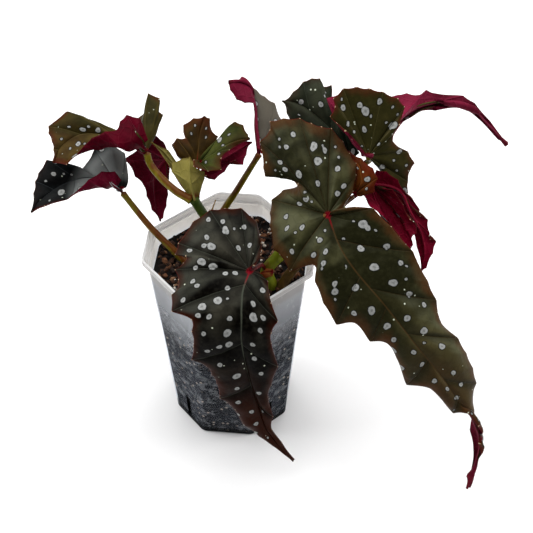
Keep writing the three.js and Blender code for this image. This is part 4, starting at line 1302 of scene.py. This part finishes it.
def upper_material(name, paint):
    """Deep green with a brown margin, silver spots ringed dark, fine pale specks, painted sheen and
    shade.
    """
    deep, light, brown, vein_tone = paint[:4]
    shade = Paint(f"upper_{name}", "upper", deep)
    spot, core, vein, edge, heart, along, tip, rib, run = map(shade.field, FIELDS)
    broad = shade.noise("broad")
    fine = shade.noise("fine")
    # Lighter patches at random: partly the blade's uneven tone, partly painted sheen.
    shade.coat(light, broad, "broad")
    # Painted light on the part of the blade toward the tip.
    if name in LIT_STRETCHES:
        shade.coat(LIT_STRETCHES[name], run, "pale_stretch")
    # Painted sheen where the surface faces the lights, painted shade where it turns away from them.
    skyward = shade.skyward()
    shade.coat(PAINTED_SHEEN.get(name, light), skyward, "bloom")
    shade.coat(deep, skyward, "turned_away")
    inward = shade.times(edge, 1 / MARGIN_REACH.get(name, USUAL_MARGIN))
    inward = shade.plus(inward, shade.times(shade.noise("margin"), MARGIN_WANDER))
    shade.coat(brown, inward, "margin")
    tipward = shade.ramp(shade.plus(run, shade.times(broad, TIP_WANDER)), "tip")
    shade.coat(brown, shade.times(tipward, TIP_BROWN.get(name, USUAL_TIP)))
    # Painted shade in the sunken hollows beside the veins.
    shade.coat(deep, vein, "beside_vein")
    shade.coat(vein_tone, vein, "vein_line")
    shade.coat(light, fine, "mottled")
    shade.coat(deep, shade.cells("net")["Distance"], "net")
    # Painted sheen on stretches of the upper side, kept off the stalk's end.
    if name in SHEENS:
        ramp, sheen = SHEENS[name]
        shade.coat(sheen, shade.times(shade.ramp(heart, ramp), shade.ramp(heart, "off_heart")))
    if name not in STIPULES:
        lay_spots(shade, spot, core, fine)
    on_rib = shade.times(shade.ramp(rib, "rib"), shade.ramp(run, "rib_fade"))
    shade.coat(vein_tone, on_rib)
    shade.coat(HEART_RED, shade.times(on_rib, shade.ramp(heart, "red_rib")))
    shade.coat(HEART_RED, heart, "heart")
    rim_line = shade.times(shade.ramp(edge, "rim_line"), shade.ramp(along, "outer_half"))
    shade.coat(MARGIN_RED, rim_line)
    if name not in PLAIN_BLADES:
        shade.coat(TOOTH_TIP, tip, "tooth_tip")
    height = shade.plus(shade.ramp(vein, "vein_groove"), shade.noise("pucker"))
    height = shade.plus(height, shade.times(fine, FINE_RELIEF))
    return shade.finish(height, shade.ramp(shade.noise("gloss"), "gloss"))


def lay_spots(shade, spot, core, fine):
    """Fine pale specks, and silver spots with grey in the middle and a dark ring."""
    speck = shade.ramp(shade.cells("specks")["Distance"], "speck")
    gate = shade.ramp(shade.noise("speck_gate"), "speck_gate")
    shade.coat(SPECK, shade.times(speck, gate))
    rim = shade.plus(spot, shade.times(shade.plus(fine, -MIDDLE_NOISE), SPOT_WANDER))
    shade.coat(RING, rim, "ring")
    body = shade.mix(shade.ramp(core, "spot_core"), SILVER, SPOT_GREY)
    body = shade.mix(shade.ramp(shade.noise("spot_grain"), "spot_grain"), body, SPOT_GREY)
    shade.coat(body, rim, "spot")


def under_material(name, paint):
    """The crimson underside, with lighter veins between shallow puckers."""
    deep, light = paint[4:6]
    shade = Paint(f"under_{name}", "under", deep)
    vein, edge, heart = map(shade.field, ("vein", "edge", "heart"))
    net = shade.cells("under_net")["Distance"]
    shade.coat(light, shade.noise("under_patches"), "under_patches")
    shade.coat(light, vein, "under_vein")
    shade.coat(light, net, "under_net")
    shade.coat(MARGIN_RED, edge, "under_rim")
    shade.coat(HEART_RED, heart, "under_heart")
    height = shade.plus(shade.ramp(vein, "under_ridge"), shade.noise("under_pucker"))
    return shade.finish(shade.plus(height, shade.ramp(net, "under_crease")))


def vein_material(name, paint):
    """The veins that stand out of the underside, in patches of its two tones."""
    deep, light = paint[4:6]
    shade = Paint(f"vein_{name}", "vein", light)
    shade.coat(deep, shade.noise("vein_patches"), "vein_patches")
    return shade.finish()


def cane_material(name, tones, upper_stain=0.0):
    """A smooth streaked cane, stained in patches and on top, with fine pale dashes."""
    deep, light, stain = tones
    shade = Paint(name, "cane", deep)
    shade.coat(light, shade.noise("streak"), "streak")
    on_top = shade.times(shade.normal()["Z"], upper_stain)
    shade.coat(stain, shade.plus(shade.noise("stain"), on_top), "stain")
    dash = shade.ramp(shade.cells("dashes")["Distance"], "dash")
    gate = shade.ramp(shade.noise("dash_gate"), "dash_gate")
    shade.coat(light, shade.times(dash, gate))
    return shade.finish(shade.noise("cane_grain"))


def clear_plastic_material():
    """Thin cloudy plastic: misted toward the rim, with faint scuffs lower down, whiter lines
    at the lip and ledge that are partly painted highlights, and painted shade at the base.
    """
    shade = Paint("clear_plastic", "plastic", "e2e5e9")
    height = shade.height()
    cloud = shade.noise("cloud")
    open_part = shade.ramp(height, "open_part")
    shade.coat("c8cace", cloud, "cloud")
    shade.coat("eeeae4", shade.times(open_part, OPEN_TINT))
    shade.finish(shade.noise("wall_wave"))
    mist = shade.ramp(shade.plus(height, shade.times(cloud, MIST_WANDER)), "mist")
    milk = shade.times(mist, shade.ramp(height, "mist_above_soil"))
    from_ledge = shade.math("ABSOLUTE", shade.plus(height, -LEDGE))
    # Whiter lines at the lip and the ledge: partly the denser plastic there, partly painted highlights
    # along those edges.
    for value, ramp in (
        (height, "lip"),
        (height, "rim_band"),
        (from_ledge, "ledge_line"),
        (shade.noise("scuff"), "scuff"),
    ):
        milk = shade.plus(milk, shade.ramp(value, ramp))
    # Painted shade: what shows through the wall turns dark grey at the base.
    tint_and_base_shade = shade.mix(shade.ramp(height, "base_tint"), "787a7c", "f0f2f5")
    tint_and_base_shade = shade.mix(open_part, tint_and_base_shade, "e4e1dd")
    clear = shade.node("ShaderNodeBsdfTransparent", {"Color": tint_and_base_shade}).outputs["BSDF"]
    glow = shade.node("ShaderNodeBsdfTranslucent", {"Color": shade.color}).outputs["BSDF"]
    wall = shade.blend(milk, clear, shade.blend(TRANSLUCENCE, shade.surface.outputs["BSDF"], glow))
    shade.put(wall, shade.tree.nodes["Material Output"].inputs["Surface"])
    return shade.material


def soil_material():
    """Packed dark bark as seen through the wall: damp black patches, grey smears where
    it touches the plastic, pale and dark crumbs, and a dark top."""
    shade = Paint("soil", "soil", "0a0b11")
    smear = shade.noise("smear")
    shade.coat("2c2d32", shade.noise("damp"), "damp")
    shade.coat("767574", smear, "smear")
    crumbs = shade.cells("crumbs")
    pick = shade.node("ShaderNodeSeparateColor", {"Color": crumbs["Color"]}).outputs
    grain = shade.ramp(crumbs["Distance"], "crumb")
    pale = shade.ramp(pick["Red"], "pale_crumb")
    dark = shade.ramp(pick["Green"], "dark_crumb")
    shade.coat("baa894", shade.times(pale, grain))
    shade.coat("0a0a0c", shade.times(dark, grain))
    shade.coat("0f0b09", shade.height(), "soil_top")
    return shade.finish(smear)


def bark_material():
    """Bark pieces from near black to tan, each with its own tone."""
    shade = Paint("bark", "bark", "1e140f")
    pick = shade.field("core")
    grain = shade.noise("bark_grain")
    shade.coat("442a1b", pick, "bark_brown")
    shade.coat("744c32", pick, "bark_tan")
    shade.coat("a48062", pick, "bark_pale")
    shade.coat("120d0a", grain, "bark_grain")
    return shade.finish(grain)


def perlite_material():
    shade = Paint("perlite", "perlite", "d6d0c6")
    grain = shade.noise("perlite")
    shade.coat("968a7c", grain, "perlite")
    return shade.finish(grain)


# ---- Stems and stalks ----
def stalk_path(points):
    line = SmoothLine(seen(points))
    steps = max(STALK_STEPS, int(line.lengths[-1] / STALK_STEP))
    shares = np.linspace(0, 1, steps + 1)
    return shares, line.at(shares)


def swollen(shares, radius, nodes, swelling):
    """The radius along a cane, thicker at its nodes."""
    start, end = radius
    size, width = swelling
    radii = start + (end - start) * shares
    for node in nodes:
        radii = radii * (1 + size * np.exp(-(((shares - node) / width) ** 2)))
    return radii


def build_cane(label, node, cane):
    shares, path = stalk_path(cane["path"])
    radii = swollen(shares, cane["radius"], cane["nodes"], NODE_SWELLING)
    material = cane_material(label, cane["tones"])
    piece = one_skin(label, tube(path, radii, STALK_SIDES), [material])
    carried(piece, node, cane["slot"])


def build_stalk(name, materials):
    """A leaf stalk, swollen where it leaves the cane and where the blade sits."""
    slot, radius, points = STALKS[name]
    shares, path = stalk_path(points)
    radii = swollen(shares, radius, (0.0, 1.0), END_SWELLING)
    reach = np.linalg.norm(path - path[-1], axis=1)
    rounding = np.clip(reach / radius[1], 0, 1)
    radii = radii * np.sqrt(1 - (1 - rounding) ** 2 * END_ROUNDING)
    into_knob = min(KNOB_DEEPEST, KNOB_DEPTH * LEAVES[name]["knob"])
    path[-1] -= unit(path[-1] - path[-3]) * into_knob
    piece = one_skin(f"petiole_{name}", tube(path, radii, STALK_SIDES), [materials[slot]])
    carried(piece, f"stalk_{name}", slot)


# ---- Pot ----
def cut_square(width, cut, height):
    """A square with cut corners, each of its eight corners rounded."""
    half = width / 2
    corners = np.array([
        [half, -half + cut], [half, half - cut], [half - cut, half], [-half + cut, half],
        [-half, half - cut], [-half, -half + cut], [-half + cut, -half], [half - cut, -half],
    ])
    ring = []
    for index, corner in enumerate(corners):
        before = unit(corners[index - 1] - corner)
        after = unit(corners[(index + 1) % len(corners)] - corner)
        for share in np.linspace(0, 1, CORNER_STEPS + 1):
            bend = before * (1 - share) ** 2 + after * share ** 2
            ring.append(corner + CORNER_ROUND * bend)
    x, y = np.array(ring).T
    c, s = math.cos(POT_TURN), math.sin(POT_TURN)
    return np.stack([x * c - y * s, x * s + y * c, np.full(len(ring), height)], axis=1)


def body_ring(height, inset):
    share = height / LEDGE
    width = BASE_WIDTH + (NECK_WIDTH - BASE_WIDTH) * share
    cut = BASE_CUT + (NECK_CUT - BASE_CUT) * share
    return cut_square(width - 2 * inset, cut - MITRE * inset, height)


def creased(piece, angle):
    """Smooth shading that keeps edges sharper than the angle."""
    work = bmesh.new()
    work.from_mesh(piece.data)
    for edge in work.edges:
        if len(edge.link_faces) == 2 and edge.calc_face_angle() > angle:
            edge.smooth = False
    work.to_mesh(piece.data)
    work.free()


def cut_slots(piece, look):
    """A drainage slot low in each broad side; its faces take the look of that number."""
    for side in range(SLOT_COUNT):
        bpy.ops.mesh.primitive_cube_add(size=1)
        cutter = bpy.context.object
        turn = POT_TURN + side * 2 * math.pi / SLOT_COUNT
        away = BASE_WIDTH / 2
        middle = SLOT_SIZE[2] / 2 + FLOOR
        cutter.scale = Vector(SLOT_SIZE) * MM
        cutter.rotation_euler = (0, 0, turn)
        cutter.location = Vector((away * math.sin(turn), -away * math.cos(turn), middle)) * MM
        for material in piece.data.materials:
            cutter.data.materials.append(material)
        cutter.data.polygons.foreach_set("material_index", [look] * len(cutter.data.polygons))
        cutting = piece.modifiers.new("slot", "BOOLEAN")
        cutting.object = cutter
        cutting.operation = "DIFFERENCE"
        cutting.solver = "EXACT"
        bpy.context.view_layer.objects.active = piece
        bpy.ops.object.modifier_apply(modifier="slot")
        bpy.data.objects.remove(cutter)


def build_pot():
    rings = [body_ring(*ring) for ring in OUTSIDE]
    for height, narrower, inset in RIM:
        rings.append(cut_square(RIM_WIDTH - narrower, RIM_CUT - MITRE * inset, height))
    rings += [body_ring(*ring) for ring in INSIDE]
    piece = one_skin("nursery_pot", stack(rings), [clear_plastic_material()])
    cut_slots(piece, 0)
    creased(piece, POT_CREASE)
    carried(piece, "pot", "clear_plastic")


# ---- Substrate ----
def lump(draw, size):
    """A rough lump: a ball with its corners moved at random."""
    work = bmesh.new()
    bmesh.ops.create_icosphere(work, subdivisions=1, radius=1)
    corners = np.array([corner.co for corner in work.verts])
    faces = [[corner.index for corner in face.verts] for face in work.faces]
    work.free()
    corners *= draw.uniform(*LUMP_ROUGHNESS, (len(corners), 1))
    corners = np.sign(corners) * np.abs(corners) ** LUMP_POWER
    corners *= size
    spin = np.linalg.qr(draw.normal(size=(3, 3)))[0]
    return corners @ spin.T, faces


def inside_pot(place, room):
    """Whether a place is within the soil's outline, room from the wall."""
    ring = body_ring(SOIL_TOP, WALL + room)[:, :2]
    ahead = np.roll(ring, -1, axis=0) - ring
    toward = place - ring
    return bool(np.all(ahead[:, 0] * toward[:, 1] - ahead[:, 1] * toward[:, 0] >= 0))


def scatter(draw, count, room):
    places = []
    while len(places) < count:
        place = draw.uniform(-RIM_WIDTH / 2, RIM_WIDTH / 2, 2)
        if inside_pot(place, room):
            places.append(place)
    return places


def on_soil(place, rise):
    """A place above the uneven top of the soil."""
    x, y = place
    height, along_x, along_y = SOIL_WAVES
    wave = height * math.sin(x * along_x + 1) * math.cos(y * along_y) - SOIL_SINK
    return [x, y, SOIL_TOP + wave + rise]


def build_block():
    """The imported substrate, as the clear wall shows it."""
    heights = np.linspace(SOIL_BASE, SOIL_TOP - 1, SOIL_RINGS)
    skin = stack([body_ring(height, SOIL_INSET) for height in heights])
    gap = Paint("slot_shade", "shade", "080707").finish()
    block = one_skin("soil_block", skin, [soil_material(), gap])
    cut_slots(block, 1)
    creased(block, SOIL_CREASE)
    carried(block, None, "bark_mix")


def build_bark(draw):
    builder = MeshBuilder()
    least, largest = BARK_SIZES
    for place in scatter(draw, BARK_COUNT, BARK_ROOM):
        most = largest if inside_pot(place, WALL_ROOM) else BARK_AT_WALL
        length = draw.uniform(least, most)
        shape = np.array([1.0, draw.uniform(*BARK_WIDTHS), draw.uniform(*BARK_DEPTHS)])
        corners, faces = lump(draw, length * shape)
        corners = corners + on_soil(place, draw.uniform(*BARK_HEIGHTS))
        builder.add(corners, faces, 0, core=draw.uniform() ** BARK_DARKNESS)
    piece = builder.build("bark_mix", [bark_material()])
    creased(piece, SOIL_CREASE)
    carried(piece, "substrate", "bark_mix")


def build_perlite(draw):
    builder = MeshBuilder()
    for place in scatter(draw, PERLITE_COUNT, WALL_ROOM):
        in_drift = np.linalg.norm(place - np.array(PERLITE_DRIFT)) < DRIFT_REACH
        if draw.uniform() > (DRIFT_SHARE if in_drift else STRAY_SHARE):
            continue
        corners, faces = lump(draw, draw.uniform(*PERLITE_SIZES))
        builder.add(corners + on_soil(place, draw.uniform(*PERLITE_HEIGHTS)), faces, 0)
    carried(builder.build("perlite", [perlite_material()]), None, "bark_mix")


# ---- Room, light and camera ----
def build_stage():
    bpy.ops.mesh.primitive_plane_add(size=TABLE_SIZE, location=(0, 0, -TABLE_DROP))
    floor = bpy.context.object
    floor.name = "floor"
    floor.data.materials.append(Paint("floor", "floor", "f3f3f3").finish())


def light_room():
    """A faint even glow, and soft square lights that face the plant."""
    world = bpy.data.worlds.new("room")
    world.use_nodes = True
    bpy.context.scene.world = world
    glow = world.node_tree.nodes["Background"]
    glow.inputs["Color"].default_value = (1, 1, 1, 1)
    glow.inputs["Strength"].default_value = ROOM_GLOW
    for name, (location, size, power) in LIGHTS.items():
        lamp = bpy.data.lights.new(name, "AREA")
        lamp.energy = power
        lamp.size = size
        holder = bpy.data.objects.new(name, lamp)
        holder.location = location
        aim = Vector(AIM * MM) - Vector(location)
        holder.rotation_euler = aim.to_track_quat("-Z", "Y").to_euler()
        bpy.context.scene.collection.objects.link(holder)


def place_camera():
    camera = bpy.data.cameras.new("camera")
    camera.sensor_width = SENSOR
    camera.lens = SENSOR * FOCAL_PIXELS / PICTURE
    camera.clip_start = NEAREST_SEEN * MM
    holder = bpy.data.objects.new("camera", camera)
    holder.location = Vector((AIM + NEAR * SIGHT) * MM)
    holder.rotation_euler = (math.pi / 2 - LEAN, 0, 0)
    bpy.context.scene.collection.objects.link(holder)
    bpy.context.scene.camera = holder


def build_plant():
    draw = np.random.default_rng(SEED)
    formed = {name: leaf_halves(name) for name in LEAVES}
    sight = Sight(half for _, halves in formed.values() for half in halves)
    for name, (rib, halves) in formed.items():
        build_blade(name, rib, halves, sight, draw)
    for name, stem in STEMS.items():
        build_cane(f"cane_{name}", f"stem_{name}", stem)
    materials = {
        slot: cane_material(slot, tones, STALK_STAIN) for slot, tones in STALK_TONES.items()
    }
    for name in STALKS:
        build_stalk(name, materials)
    build_cane("stipule_spike", "spike", SPIKE)
    build_pot()
    build_block()
    build_bark(draw)
    build_perlite(draw)


build_plant()
build_stage()
light_room()
place_camera()
bpy.context.scene.view_settings.view_transform = "Standard"
